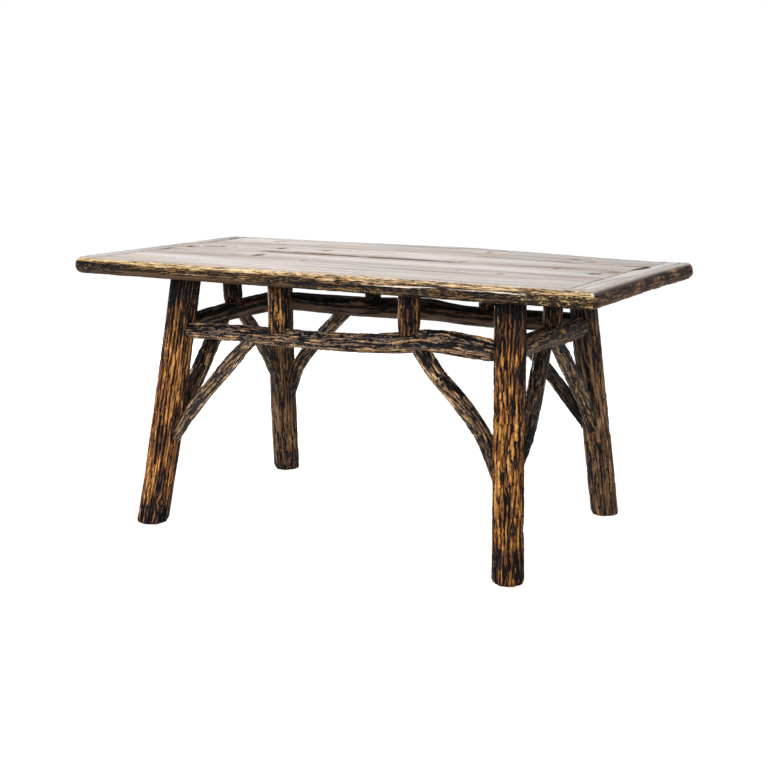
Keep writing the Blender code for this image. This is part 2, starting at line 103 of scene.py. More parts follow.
def reckon(operation, first, *others):
    feeds = dict(enumerate((first, *others)))
    if not first.isVector:
        return wire(first.tree, "ShaderNodeMath", feeds, operation=operation)
    if operation == "SCALE":
        feeds = {0: first, "Scale": others[0]}
    output = "Value" if operation in ("LENGTH", "DOT_PRODUCT") else "Vector"
    return wire(first.tree, "ShaderNodeVectorMath", feeds, output, operation=operation)


def ease(value, low, high, first=0.0, last=1.0):
    feeds = {"Value": value, "From Min": low, "From Max": high, "To Min": first, "To Max": last}
    return wire(value.tree, "ShaderNodeMapRange", feeds, interpolation_type="SMOOTHSTEP")


def noise(coord, scale=1.0, detail=2.0, rough=0.5):  # one value and three
    feeds = {"Vector": coord, "Scale": scale, "Detail": detail, "Roughness": rough}
    return [Wire(socket) for socket in put(coord.tree, "ShaderNodeTexNoise", feeds).outputs]


def cells(coord, feature, output):
    return wire(coord.tree, "ShaderNodeTexVoronoi", {"Vector": coord, "Scale": 1.0}, output, feature=feature)


def triple(tree, x, y, z):
    return wire(tree, "ShaderNodeCombineXYZ", {0: x, 1: y, 2: z})


def stretch(coord, across, length):  # cells this wide and this long, along Z
    return coord / triple(coord.tree, across, across, length)


def split(value):
    return [Wire(socket) for socket in put(value.tree, "ShaderNodeSeparateXYZ", {0: value}).outputs]


def tint(share, first, second):
    made = put(share.tree, "ShaderNodeMix", {0: share}, data_type="RGBA")
    for socket, value in zip(made.inputs[6:8], (first, second)):  # the two colours
        feed(socket, value if isinstance(value, Wire) else (*value, 1.0))
    return Wire(made.outputs[2])


def newMaterial(name):
    made = bpy.data.materials.new(name)
    made.use_nodes = True
    return made, made.node_tree, made.node_tree.nodes["Principled BSDF"].inputs


def layer(tree, name, output="Fac"):  # a value stored on the mesh
    return wire(tree, "ShaderNodeAttribute", output=output, attribute_name=name)


def bumpOn(shader, height, strength, distance, *sockets):
    bump = wire(height.tree, "ShaderNodeBump", {"Strength": strength, "Distance": distance, "Height": height})
    for socket in sockets:
        feed(shader[socket], bump)


def newTree(name, **inputs):
    tree = bpy.data.node_groups.new(name, "GeometryNodeTree")
    for label, kind in {"Geometry": "Geometry", **inputs}.items():
        tree.interface.new_socket(label, in_out="INPUT", socket_type="NodeSocket" + kind)
    tree.interface.new_socket("Geometry", in_out="OUTPUT", socket_type="NodeSocketGeometry")
    sockets = tree.nodes.new("NodeGroupInput").outputs
    return tree, Named({socket.name: Wire(socket) for socket in sockets if socket.name})


def closeTree(shape, material):
    solid = wire(shape.tree, "GeometryNodeRealizeInstances", {"Geometry": shape})
    shown = wire(shape.tree, "GeometryNodeSetMaterial", {"Geometry": solid, "Material": material})
    feed(shape.tree.nodes.new("NodeGroupOutput").inputs[0], shown)
    return shape.tree


def readOn(tree, name, kind="FLOAT"):
    return wire(tree, "GeometryNodeInputNamedAttribute", {"Name": name}, data_type=kind)


def writeOn(shape, name, value):
    feeds = {"Geometry": shape, "Name": name, "Value": value}
    kind = "FLOAT_VECTOR" if value.isVector else "FLOAT"
    return wire(shape.tree, "GeometryNodeStoreNamedAttribute", feeds, data_type=kind, domain="POINT")


def moveOn(shape, offset):
    return wire(shape.tree, "GeometryNodeSetPosition", {0: shape, "Offset": offset})


def runTree(name, base, tree, values):  # runs a tree once and keeps the result as a plain mesh
    piece = bpy.data.objects.new(name, base)
    bpy.context.scene.collection.objects.link(piece)
    modifier = piece.modifiers.new(tree.name, "NODES")
    modifier.node_group = tree
    sockets = {item.name: item.identifier for item in tree.interface.items_tree if item.in_out == "INPUT"}
    for label, value in values.items():
        modifier[sockets[label]] = value
    graph = bpy.context.evaluated_depsgraph_get()
    mesh = bpy.data.meshes.new_from_object(piece.evaluated_get(graph), preserve_all_data_layers=True, depsgraph=graph)
    piece.modifiers.remove(modifier)
    piece.data = mesh
    mesh.name = name
    bpy.data.meshes.remove(base)
    mesh.polygons.foreach_set("use_smooth", [True] * len(mesh.polygons))
    return piece


def settle(piece, slot, *replaced):
    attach(piece, "root")
    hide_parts(*replaced)


# bark: two families of furrows wander against each other along the log (Z), so the ridges between them join and part
bark = Named(  # sizes of the pattern across and along, in metres, and how strongly each part counts
    drift=0.035, jag=0.006, jagShare=0.28, jagPull=0.85, lens=0.012, fibre=(0.0030, 0.040),
    mottle=0.020, mottleShare=0.8, furrow=0.32, wornFurrow=-0.70, frayRise=0.65, ridgeTone=0.34,
    frayTone=1.5, plainTone=-0.17, rimTone=0.13, scale=0.009, scaleSwing=(0.010, 0.020),
    scalePull=0.008, creviceShare=1.2, fleck=0.0040, rings=15.0, ringFray=5.0, ringShare=0.35,
    plate=(0.030, 0.080), plateSwing=(0.020, 0.030), platePull=0.040, plateFray=0.8, plateFleck=0.5,
    rubDark=0.62, rubLens=1.2, paleDark=0.75, paleLens=0.7, paleFray=0.8, lipShare=0.8,
    glintFray=0.9, roughVary=0.20, coatRough=0.16, bump=(0.8, 0.0016), bumpFibre=0.8, bumpSunk=0.4,
)
barkSteps = Named(  # where each effect sets in and where it is full
    sunk=(0.0, 0.11, 1.0, 0.0), rimIn=(0.05, 0.12), rimOut=(0.26, 0.14), crevice=(0.02, 0.09),
    innerRed=(0.06, 0.28), inner=(0.28, 0.48), gold=(0.52, 0.80), crack=(0.004, 0.018, 1.0, 0.0),
    fleck=(0.55, 0.62), fleckPatch=(0.40, 0.55), knot=(0.25, 0.6), ring=(-0.5, 0.4),
    rift=(0.015, 0.080, 1.0, 0.0), vein=(0.40, 0.52), platePatch=(0.32, 0.44), plate=(0.40, 0.60),
    fibre=(0.30, 0.70), rub=(0.35, 0.65), lip=(0.18, 0.34), lipPatch=(0.44, 0.54), glint=(0.38, 0.66),
)
barkRelief = Named(
    vary=1.4, level=1.02, sunk=(-0.10, 0.30, 1.0, 0.0), crown=(0.0, 0.9, 0.0, 0.25), fibre=0.0016,
    fibreLevel=0.0010, broad=(0.055, 0.13), ripple=0.0006, patch=(0.07, 0.25), patchWear=0.36,
)


def barkPattern(coord, turn, reach, sway, lensReach):
    half = (0.5, 0.5, 0.5)
    drift = split(noise(stretch(coord, bark.drift, reach))[1] - half)
    jag = split(noise(stretch(coord, bark.jag, lensReach * bark.jagShare))[1] - half)
    lines = [reckon("PINGPONG", jag[k] * bark.jagPull + (drift[k] * sway + turn), 0.5) for k in range(2)]
    away = reckon("MINIMUM", *lines) * 2.0  # 0 in a furrow, 1 on top of a ridge
    lens = noise(stretch(coord, bark.lens, lensReach))[0]
    fibre = noise(stretch(coord, *bark.fibre), detail=3.0, rough=0.6)[0]
    return away, lens, fibre


def ridgeCount(coord, ridges):  # how many ridges round the log a point is
    x, y = split(coord)[:2]
    return reckon("ARCTAN2", y, x) * (ridges / (2 * math.pi))


def shaded(colour, share):
    return tuple(share * part for part in colour)


def barkMaterial(look):
    material, tree, shader = newMaterial(look.name)
    coord = layer(tree, "barkCoord", "Vector")
    # the stored wear also carries painted shade and painted light on the logs
    wearAndShading, knot, rubbedAndLit, bleached = (layer(tree, name) for name in ("wearAndShading", "knot", "rubbedAndLit", "bleached"))
    turn = split(coord)[0] / look.ridge if "ridge" in look else ridgeCount(coord, look.ridges)
    away, lens, fibre = barkPattern(coord, turn, look.reach, look.sway, look.lensReach)
    mottle, patches = noise(stretch(coord, bark.mottle, look.reach * bark.mottleShare), detail=3.0)
    patches = split(patches)
    fray, bulge = fibre - 0.5, lens - 0.5

    def step(value, name, *ends):
        return ease(value, *barkSteps[name], *ends)

    worn = wearAndShading + (mottle - 0.5) * look.scatter
    width = bulge * -look.furrowVary + (look.furrowWidth + bark.furrow) + worn * bark.wornFurrow
    rise = away + fray * bark.frayRise - width
    sunk = step(rise, "sunk")
    tone = worn + away * bark.ridgeTone + fray * bark.frayTone + bark.plainTone
    tone = tone + bulge * look.toneVary - look.toneDrop
    # painted highlight: a lighter tone along the rims of the bark plates
    tone = tone + step(rise, "rimIn") * step(rise, "rimOut") * bark.rimTone
    swing = noise(stretch(coord, *bark.scaleSwing))[1] * bark.scalePull
    scaled = stretch(coord + swing, bark.scale, look.scaleReach)
    tone = tone + (split(cells(scaled, "F1", "Color"))[0] - 0.5) * look.scaly
    edge = cells(scaled, "DISTANCE_TO_EDGE", "Distance")
    crevice = step(edge, "crevice", look.scaly * bark.creviceShare, 0.0)
    colour = tint(step(tone, "innerRed"), look.bark, look.innerRed)
    for name in ("inner", "gold"):
        colour = tint(step(tone, name), colour, look[name])
    crack = step(reckon("ABSOLUTE", mottle - 0.5), "crack")
    colour = tint(reckon("MAXIMUM", crack * look.cracks, crevice), colour, look.furrow)
    fleck = noise(stretch(coord, bark.fleck, look.fleckReach))[0]
    flecked = step(fleck, "fleck") * step(patches[1], "fleckPatch")
    colour = tint(sunk, colour, tint(flecked * look.flecks, look.furrow, look.fleck))
    ring = reckon("SINE", knot * bark.rings + fibre * bark.ringFray)
    colour = tint(step(knot, "knot") * step(ring, "ring") * bark.ringShare, colour, look.furrow)
    if "vein" in look:  # black plates with gold lines between them
        swing = noise(stretch(coord, *bark.plateSwing), detail=3.0)[1] * bark.platePull
        rift = cells(stretch(coord + swing, *bark.plate), "DISTANCE_TO_EDGE", "Distance")
        plate = tint(step(rift, "rift") * step(lens, "vein"), look.bark, look.vein)
        plate = tint(flecked * bark.plateFleck, plate, look.fleck)
        patchy = layer(tree, "veined") * step(patches[2], "platePatch")
        colour = tint(step(fray * bark.plateFray + patchy, "plate"), colour, plate)
    rub = tint(step(fibre, "fibre"), look.rub, shaded(look.rub, bark.rubDark))
    colour = tint(step(bulge * bark.rubLens + rubbedAndLit, "rub"), colour, rub)
    pale = tint(step(fibre, "fibre"), look.bleach, shaded(look.bleach, bark.paleDark))
    peeled = bulge * bark.paleLens + (fray * bark.paleFray + bleached)
    colour = tint(step(peeled, "lip") * step(patches[0], "lipPatch") * bark.lipShare, colour, look.furrow)
    colour = tint(ease(peeled, 0.5 - look.peelEdge, 0.5 + look.peelEdge), colour, pale)
    if "glint" in look:  # painted highlight: the pale, broken line along the ledge
        lit = bulge + (fray * bark.glintFray + layer(tree, "glint"))
        colour = tint(step(lit, "glint"), colour, look.glint)
    feed(shader["Base Color"], colour)
    gloss = ease(sunk, 0.0, 1.0, look.wornRough, look.darkRough)
    feed(shader["Roughness"], fray * bark.roughVary + gloss)
    shader["Specular IOR Level"].default_value = look.sheen
    shader["Coat Weight"].default_value = look.varnish
    shader["Coat Roughness"].default_value = bark.coatRough
    relief = fibre * bark.bumpFibre - (sunk + crack) * bark.bumpSunk
    bumpOn(shader, relief, *bark.bump, "Normal", "Coat Normal")
    return material


def barkHeight(coord, turn, given):
    away, lens, fibre = barkPattern(coord, turn, given.reach, given.sway, given.lensReach)
    sunk = ease(away + lens * barkRelief.vary - barkRelief.level, *barkRelief.sunk)
    height = (ease(away, *barkRelief.crown) - sunk) * given.depth
    height = height + (fibre * barkRelief.fibre - barkRelief.fibreLevel)
    broad = noise(stretch(coord, *barkRelief.broad), detail=1.0)[0]
    return height + (broad - 0.5) * given.swell


def barkTree():
    tree, given = newTree(
        "barkLog", sides="Int", ridges="Int", reach="Float", sway="Float", lensReach="Float", depth="Float",
        swell="Float", knotSize="Float", knotLift="Float", wornSide="Vector", rubbedSide="Vector", seed="Int",
        bark="Material",
    )
    isKnot = reckon("GREATER_THAN", readOn(tree, "isKnot"), 0.5)
    parted = put(tree, "GeometryNodeSeparateGeometry", {0: given.Geometry, 1: isKnot}).outputs
    path = wire(tree, "GeometryNodeMeshToCurve", {0: Wire(parted["Inverted"])})
    place = wire(tree, "GeometryNodeInputPosition")
    path = writeOn(path, "core", place)
    path = writeOn(path, "heading", wire(tree, "GeometryNodeInputTangent"))
    circle = wire(tree, "GeometryNodeCurvePrimitiveCircle", {"Resolution": given.sides, "Radius": 1.0})
    circle = writeOn(circle, "rim", place)
    girth = readOn(tree, "girth")
    log = wire(tree, "GeometryNodeCurveToMesh", {0: path, 1: circle, 2: girth, 3: True})
    rim, heading, core = (readOn(tree, name, "FLOAT_VECTOR") for name in ("rim", "heading", "core"))
    radial = reckon("NORMALIZE", place - core)
    coord = rim * girth + triple(tree, 0.0, 0.0, given.seed * 1.7 + readOn(tree, "run"))
    # the pattern parts around each knot
    feeds = {0: Wire(parted["Selection"])}
    nearest = wire(tree, "GeometryNodeProximity", feeds, "Position", target_element="POINTS")
    away = place - nearest
    uneven = noise(place, 160.0)[0]
    lengthwise = heading * (reckon("DOT_PRODUCT", away, heading) * -0.25)  # knots are longer than wide
    share = reckon("LENGTH", away + lengthwise) * (uneven + 0.5) / given.knotSize
    knot = reckon("EXPONENT", share * share * -1.0)
    push = reckon("NORMALIZE", away) * (reckon("POWER", knot, 0.35) * given.knotSize)
    aside = reckon("DOT_PRODUCT", push, reckon("CROSS_PRODUCT", heading, radial))
    ahead = reckon("DOT_PRODUCT", push, heading)
    sideways = reckon("CROSS_PRODUCT", rim, (0, 0, -1)) * aside
    coord = coord - (sideways + triple(tree, 0.0, 0.0, ahead))
    height = barkHeight(coord, ridgeCount(coord, given.ridges), given)
    ripple = reckon("SINE", knot * bark.rings) * barkRelief.ripple
    height = height + (ripple + given.knotLift) * knot
    patch = noise(stretch(coord, *barkRelief.patch), detail=1.0)[0]
    worn = readOn(tree, "wearAndShading") + (patch - 0.5) * barkRelief.patchWear
    log = writeOn(log, "barkCoord", coord)
    log = writeOn(log, "knot", knot)
    # stored wear plus painted light: the log is made lighter on the given side, as if lit from there
    log = writeOn(log, "wearAndShading", worn + reckon("DOT_PRODUCT", radial, given.wornSide))
    # partly painted light: on rails the rubbed side is the underside, made lighter as if lit from the floor
    log = writeOn(log, "rubbedAndLit", reckon("DOT_PRODUCT", radial, given.rubbedSide))
    log = moveOn(log, radial * height)
    for name in ("core", "heading", "rim", "girth", "run", "isKnot"):
        log = wire(tree, "GeometryNodeRemoveAttribute", {0: log, "Name": name})
    return closeTree(log, given.bark)


def smooth(value, low, high):
    share = np.clip((value - low) / (high - low), 0, 1)
    return share * share * (3 - 2 * share)


# reads a log's centre line and girth from cross sections of its solid
def logLine(name, spacing=0.008, directions=16, endGap=0.003, spread=0.3, bodyShare=0.8):
    mesh = cad[name].data
    points = np.array([v.co for v in mesh.vertices])
    corners = np.array([p.vertices[:] for p in mesh.polygons])
    ends = np.vstack([corners[:, [0, 1]], corners[:, [1, 2]], corners[:, [2, 0]]])
    heading = np.linalg.svd(points - points.mean(0), full_matrices=False)[2][0]
    for turn in range(3):
        heading = heading * (1 if heading[np.argmax(abs(heading))] > 0 else -1)
        lift = np.cross(heading, [0.0, 0.0, 1.0] if abs(heading[2]) < 0.9 else [1.0, 0.0, 0.0])
        lift /= np.linalg.norm(lift)
        side = np.cross(lift, heading)
        place = points @ heading
        first, last = place[ends[:, 0]], place[ends[:, 1]]
        rows = []
        for cut in np.arange(place.min() + endGap, place.max() - endGap, spacing):
            cross = (first - cut) * (last - cut) < 0
            share = ((cut - first[cross]) / (last[cross] - first[cross]))[:, None]
            ring = points[ends[cross, 0]] * (1 - share) + points[ends[cross, 1]] * share
            flat = np.stack([ring @ side, ring @ lift], 1)
            off = flat - (flat.min(0) + flat.max(0)) / 2
            angle = np.arctan2(off[:, 1], off[:, 0]) / (2 * math.pi) + 0.5
            sector = (angle * directions).astype(int) % directions
            reach = np.hypot(off[:, 0], off[:, 1])
            groups = [np.flatnonzero(sector == k) for k in range(directions)]
            outer = [max(group, key=lambda i: reach[i]) for group in groups if len(group)]
            if len(outer) < directions - 1:
                continue
            flat = flat[outer]
            sums = np.linalg.lstsq(np.c_[2 * flat, np.ones(len(flat))], (flat**2).sum(1), rcond=None)[0]
            rows.append((cut, *sums[:2], math.sqrt(sums[2] + sums[0] ** 2 + sums[1] ** 2)))  # a fitted circle
        rows = np.array(rows)
        rows = rows[abs(rows[:, 3] / np.median(rows[:, 3]) - 1) < spread]
        centre = rows[:, [0]] * heading + rows[:, [1]] * side + rows[:, [2]] * lift
        low, high = place.min(), place.max()
        heading = centre[-1] - centre[0]
        heading /= np.linalg.norm(heading)
    window = np.ones(5) / 5
    for column in (*centre.T, rows[:, 3]):
        column[2:-2] = np.convolve(column, window, "valid")
    axis = centre.mean(0) - centre.mean(0) @ heading * heading
    radial = np.linalg.norm(points - (points @ heading)[:, None] * heading - axis, axis=1)
    girth = rows[:, 3]
    body = (points @ heading)[radial > bodyShare * np.median(girth)]
    return Named(cut=rows[:, 0], centre=centre, girth=girth, low=low, high=high, foot=body.min())


def logPoints(line, start, stop, step):  # samples the line, straight on past its ends
    at = np.linspace(start, stop, int(abs(stop - start) / step) + 2)
    cut, centre = line.cut, line.centre
    found = np.stack([np.interp(at, cut, column) for column in centre.T], 1)
    for end, inner, past in ((0, 5, at < cut[0]), (-1, -6, at > cut[-1])):
        slope = (centre[end] - centre[inner]) / (cut[end] - cut[inner])
        found[past] = centre[end] + slope * (at[past] - cut[end])[:, None]
    return at, found, np.interp(at, cut, line.girth)


def makeLog(name, look, wearAndShading, seed, wornSide=None, rubbedSide=(0.0, 0.0, 0.0)):
    kind, line = name.split("_")[0], logLines[name]
    past, taper, ends = logEnds[kind]
    low, high = (line.foot, legTop) if kind == "post" else (line.low, line.high)
    span = low - past[0], high + past[1]
    at, path, girth = logPoints(line, *span, look.step)
    for edge, length, share in zip(span, taper, ends):
        near = np.clip(1 - abs(at - edge) / length, 0, 1)
        girth = girth * (1 - (1 - share) * near**2)
    marks = [(0.0, 0.0, -50.0)]  # lies far off, for logs without knots
    for share, facing in logKnots.get(name, ()):
        i = int(share * (len(path) - 1))
        ahead = path[min(i + 1, len(path) - 1)] - path[max(i - 1, 0)]
        ahead /= np.linalg.norm(ahead)
        out = np.array(facing) - np.dot(facing, ahead) * ahead
        marks.append(path[i] + out / np.linalg.norm(out) * girth[i])
    base = bpy.data.meshes.new(name)
    base.from_pydata([*path, *marks], [(i, i + 1) for i in range(len(path) - 1)], [])
    for label, values in (("girth", girth), ("run", at), ("wearAndShading", wearAndShading(path)), ("isKnot", np.zeros(len(path)))):
        store = base.attributes.new(label, "FLOAT", "POINT")
        last = 1.0 if label == "isKnot" else 0.0
        store.data.foreach_set("value", np.r_[values, np.full(len(marks), last)].astype(np.float32))
    shape = ("sides", "ridges", "reach", "sway", "lensReach", "depth", "swell", "knotSize", "knotLift")
    values = {key: look[key] for key in shape} | {"seed": seed, "bark": barkMaterials[look.name]}
    values |= {"wornSide": wornSide or look.wornSide, "rubbedSide": rubbedSide}
    return runTree(name + "_log", base, logTree, values)


def cutFlat(piece, height, upward):  # saws a log off level and closes the cut
    shape = bmesh.new()
    shape.from_mesh(piece.data)
    cut = bmesh.ops.bisect_plane(
        shape, geom=shape.verts[:] + shape.edges[:] + shape.faces[:], dist=1e-6,
        plane_co=(0, 0, height), plane_no=(0, 0, 1 if upward else -1), clear_outer=True,
    )["geom_cut"]
    bmesh.ops.contextual_create(shape, geom=[item for item in cut if isinstance(item, bmesh.types.BMEdge)])
    bmesh.ops.recalc_face_normals(shape, faces=shape.faces)
    for made in shape.faces:
        made.smooth = len(made.verts) < 5
    shape.to_mesh(piece.data)
    shape.free()


foot = Named(  # the worn, uneven rim where a leg meets the floor; its waves are count, size and shift
    height=0.014, least=0.4, bend=1.6, inset=0.03, chip=0.13,
    waves=((3, 0.25, 1.0), (7, 0.17, 2.1), (13, 0.12, 0.7)),
)


def chipFoot(leg, line, seed):
    mesh = leg.data
    points = np.empty(len(mesh.vertices) * 3)
    mesh.vertices.foreach_get("co", points)
    points = points.reshape(-1, 3)
    middle = logPoints(line, line.low, line.low + 0.001, 0.001)[1][0]
    off = points[:, :2] - middle[:2]
    turn = np.arctan2(off[:, 1], off[:, 0])
    ragged = 0.5 + sum(size * np.sin(count * turn + shift * seed) for count, size, shift in foot.waves)
    near = np.clip(1 - points[:, 2] / (foot.height * (foot.least + ragged)), 0, 1) ** foot.bend
    points[:, :2] = middle[:2] + off * (1 - (foot.inset + foot.chip * ragged) * near)[:, None]
    mesh.vertices.foreach_set("co", points.ravel())
    mesh.update()


logTree = barkTree()
legLook = Named(
    name="leg_bark", sides=144, step=0.0035, ridges=20, reach=0.150, sway=3.8, lensReach=0.064,
    depth=0.0026, swell=0.004, knotSize=0.010, knotLift=0.0024, wornSide=(0.0, 0.0, 0.0),
    scatter=0.9, furrowWidth=0.27, furrowVary=1.7, cracks=0.8, flecks=0.4, fleckReach=0.050,
    darkRough=0.50, wornRough=0.36, sheen=0.10, varnish=0.08, toneVary=1.3, toneDrop=0.10,
    scaly=0.35, scaleReach=0.045, peelEdge=0.12, rub=(0.085, 0.068, 0.058), bleach=(0.330, 0.292, 0.262),
    furrow=(0.003, 0.003, 0.004), bark=(0.029, 0.021, 0.017), fleck=(0.080, 0.045, 0.024),
    inner=(0.255, 0.098, 0.022), innerRed=(0.095, 0.034, 0.014), gold=(0.540, 0.250, 0.060),
)
leftLegLook = Named(  # grew straighter, with finer furrows
    legLook, name="leg_bark_left", ridges=27, reach=0.260, sway=2.8, lensReach=0.090, furrowVary=1.2,
    toneVary=1.2, inner=(0.275, 0.110, 0.032), innerRed=(0.116, 0.046, 0.022), gold=(0.600, 0.275, 0.075),
    bark=(0.043, 0.037, 0.036),
)
backLegLook = Named(  # painted shade: a greyer, duller copy for the legs in the shade
    legLook, name="leg_bark_back", ridges=21, furrowWidth=0.26, lensReach=0.085, inner=(0.185, 0.094, 0.045),
    innerRed=(0.118, 0.071, 0.047), gold=(0.360, 0.195, 0.090), bark=(0.078, 0.061, 0.053),
    furrow=(0.008, 0.007, 0.008),
)
# the undersides of rails and braces come out lighter: partly wear, partly painted light bounced up from the floor
railLook = Named(  # what rails, braces and edging share
    legLook, sides=112, ridges=11, reach=0.120, sway=4.2, lensReach=0.045, depth=0.0018, swell=0.0035,
    toneVary=0.8, toneDrop=0.0, scaly=0.55, scaleReach=0.016, wornSide=(0.0, 0.0, -0.14),
    flecks=0.8, fleckReach=0.014, sheen=0.20, varnish=0.12, furrowVary=1.8, furrowWidth=0.26,
    fleck=(0.200, 0.130, 0.075), rub=(0.165, 0.120, 0.088),
)
frontRailLook = Named(  # longer furrows and greyer between them
    railLook, name="rail_bark_front", reach=0.150, sway=3.8, lensReach=0.052, ridges=14, scaly=0.45,
    scaleReach=0.024, sheen=0.15, varnish=0.20, inner=(0.275, 0.155, 0.082),
    innerRed=(0.140, 0.088, 0.062), gold=(0.560, 0.360, 0.165), bark=(0.058, 0.048, 0.044),
    fleck=(0.205, 0.166, 0.140),
)
endRailLook = Named(  # browner
    railLook, name="rail_bark_end", lensReach=0.060, scaly=0.38, flecks=0.5, inner=(0.235, 0.122, 0.053),
    innerRed=(0.100, 0.055, 0.032), gold=(0.520, 0.300, 0.110), bark=(0.056, 0.037, 0.026),
    rub=(0.165, 0.105, 0.066),
)
shadeRailLook = Named(  # painted shade: a darker copy for the rails in the shade, smooth and nearly black, with soft long streaks
    railLook, name="rail_bark_shade", ridges=9, reach=0.240, sway=2.2, lensReach=0.100, scaly=0.18,
    scaleReach=0.040, flecks=0.25, fleckReach=0.030, furrowVary=1.2, furrowWidth=0.30, sheen=0.10,
    varnish=0.06, depth=0.0012, swell=0.0025, inner=(0.122, 0.068, 0.038),
    innerRed=(0.066, 0.037, 0.023), gold=(0.290, 0.165, 0.085), bark=(0.035, 0.023, 0.017),
    fleck=(0.100, 0.063, 0.044), rub=(0.165, 0.095, 0.058),
)
postLook = Named(
    legLook, name="post_bark", sides=112, ridges=16, reach=0.110, lensReach=0.050, depth=0.0022,
    swell=0.003, toneDrop=0.04, toneVary=1.0, inner=(0.235, 0.098, 0.028), gold=(0.500, 0.265, 0.080),
)
braceLook = Named(
    railLook, name="brace_bark", sides=96, ridges=9, reach=0.130, sway=3.4, lensReach=0.055, depth=0.0022,
    swell=0.004, scaly=0.45, scaleReach=0.024, wornSide=(0.0, 0.0, -0.22), fleckReach=0.020,
    darkRough=0.44, varnish=0.14, inner=(0.175, 0.098, 0.052), innerRed=(0.080, 0.046, 0.030),
    gold=(0.580, 0.385, 0.180), bark=(0.034, 0.026, 0.022), fleck=(0.170, 0.105, 0.060),
)
glossyLook = Named(
    braceLook, name="brace_bark_glossy", varnish=0.85, darkRough=0.30, inner=(0.240, 0.128, 0.062),
    innerRed=(0.100, 0.058, 0.038), gold=(0.600, 0.380, 0.180), bark=(0.038, 0.030, 0.026),
)
logLooks = (
    legLook, leftLegLook, backLegLook, frontRailLook, endRailLook, shadeRailLook, postLook, braceLook, glossyLook,
)
barkMaterials = {look.name: barkMaterial(look) for look in logLooks}
logNames = [name for name in cad if name.split("_")[0] in ("leg", "rail", "post", "brace")]
logLines = {name: logLine(name) for name in logNames}
print("logs read:", len(logLines))

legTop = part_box("cleat_left")[0].z - 0.0003
legs = {  # bark, wear, the side that is worn more and painted lighter as if lit from there, and how dark the foot is
    "leg_front_left": (leftLegLook, 0.43, (0.06, -0.12, 0.0), 0.30),
    "leg_front_right": (legLook, 0.375, (0.10, -0.19, 0.0), 0.24),
    "leg_back_left": (backLegLook, 0.58, (0.02, -0.02, 0.0), 0.12),
    "leg_back_right": (backLegLook, 0.53, (0.14, -0.04, 0.0), 0.06),
}
legFade = Named(upper=(0.44, 0.64), less=0.31, foot=(0.10, 0.04))  # painted shade: darker towards the top, under the table top; also darker at the foot
logKnots = {  # share along the log, and the way it faces
    "leg_front_right": [(0.21, (0.6, -0.7, 0.0)), (0.72, (0.9, -0.3, 0.0))],
    "leg_front_left": [(0.12, (0.8, -0.6, 0.0))],
    "rail_front": [(0.78, (0.0, -0.6, 0.8)), (0.62, (0.0, -0.7, -0.7))],
    "brace_front_right_side": [(0.40, (-0.4, -0.6, -0.6)), (0.70, (0.0, -0.9, 0.3))],
    "brace_back_right_end": [(0.5, (0.9, -0.3, 0.0))],
}
logEnds = {  # how far each end goes past the solid, the length that narrows there and the share of girth left
    "leg": ((0.02, 0.01), (0.012, 0.012), (0.9, 0.9)), "rail": ((-0.004, -0.004), (0.030, 0.030), (0.62, 0.62)),
    "post": ((0.002, 0.02), (0.014, 0.010), (0.80, 1.0)), "brace": ((0.006, 0.006), (0.016, 0.016), (0.85, 0.85)),
}


def makeLegs():
    for seed, (name, (look, worn, side, dark)) in enumerate(legs.items(), 1):
        def fade(path):
            height = path[:, 2]
            low = smooth(-height, -legFade.foot[0], -legFade.foot[1])
            return worn - legFade.less * smooth(height, *legFade.upper) - dark * low

        leg = makeLog(name, look, fade, seed, wornSide=side)
        cutFlat(leg, 0.0, False)
        chipFoot(leg, logLines[name], seed)
        cutFlat(leg, legTop, True)
        settle(leg, "leg", name)


rails = {  # bark, wear at its left and right or front and back, and the side where the bark is rubbed off and painted lighter, standing in for light bounced up from the floor
    "rail_front": (frontRailLook, (0.40, 0.28), (0.0, 0.0, 0.0)),
    "rail_back": (shadeRailLook, (0.30, 0.30), (0.1, -0.42, -0.46)),
    "rail_left": (shadeRailLook, (0.34, 0.34), (0.25, -0.1, -0.40)),
    "rail_right": (endRailLook, (0.44, 0.40), (0.30, -0.05, -0.50)),
}


def makeRails():
    for seed, (name, (look, worn, rubbedAndLit)) in enumerate(rails.items(), 11):
        fade = lambda path: np.interp(np.linspace(0, 1, len(path)), (0.5, 0.75), worn)
        rail = makeLog(name, look, fade, seed, rubbedSide=rubbedAndLit)
        settle(rail, "rail", name)


posts = {  # wear
    "post_front_left": 0.36, "post_front_right": 0.29, "post_back_left": 0.20, "post_back_right": 0.20,
    "post_left_end": 0.24, "post_right_end": 0.30,
}


def makePosts():
    for seed, (name, worn) in enumerate(posts.items(), 21):
        even = lambda path: np.full(len(path), worn)
        post = makeLog(name, postLook, even, seed)
        cutFlat(post, legTop, True)
        settle(post, "post", name)


braces = {  # wear
    "brace_front_left_side": 0.42, "brace_front_left_end": 0.44, "brace_back_left_side": 0.40,
    "brace_back_left_end": 0.36, "brace_front_right_side": 0.44, "brace_front_right_end": 0.34,
    "brace_back_right_side": 0.28, "brace_back_right_end": 0.33,
}
braceFootShade = Named(less=0.20, span=(0.10, 0.40))  # painted shade: darker towards the lower ends


def makeBraces():
    for seed, (name, worn) in enumerate(braces.items(), 31):
        def fade(path):
            share = (path[:, 2] - path[:, 2].min()) / np.ptp(path[:, 2])
            return worn - braceFootShade.less * (1 - smooth(share, *braceFootShade.span))

        look = glossyLook if name == "brace_front_left_side" else braceLook
        brace = makeLog(name, look, fade, seed)
        settle(brace, "brace", name)


makeLegs()
makeRails()
makePosts()
makeBraces()
print("logs dressed")


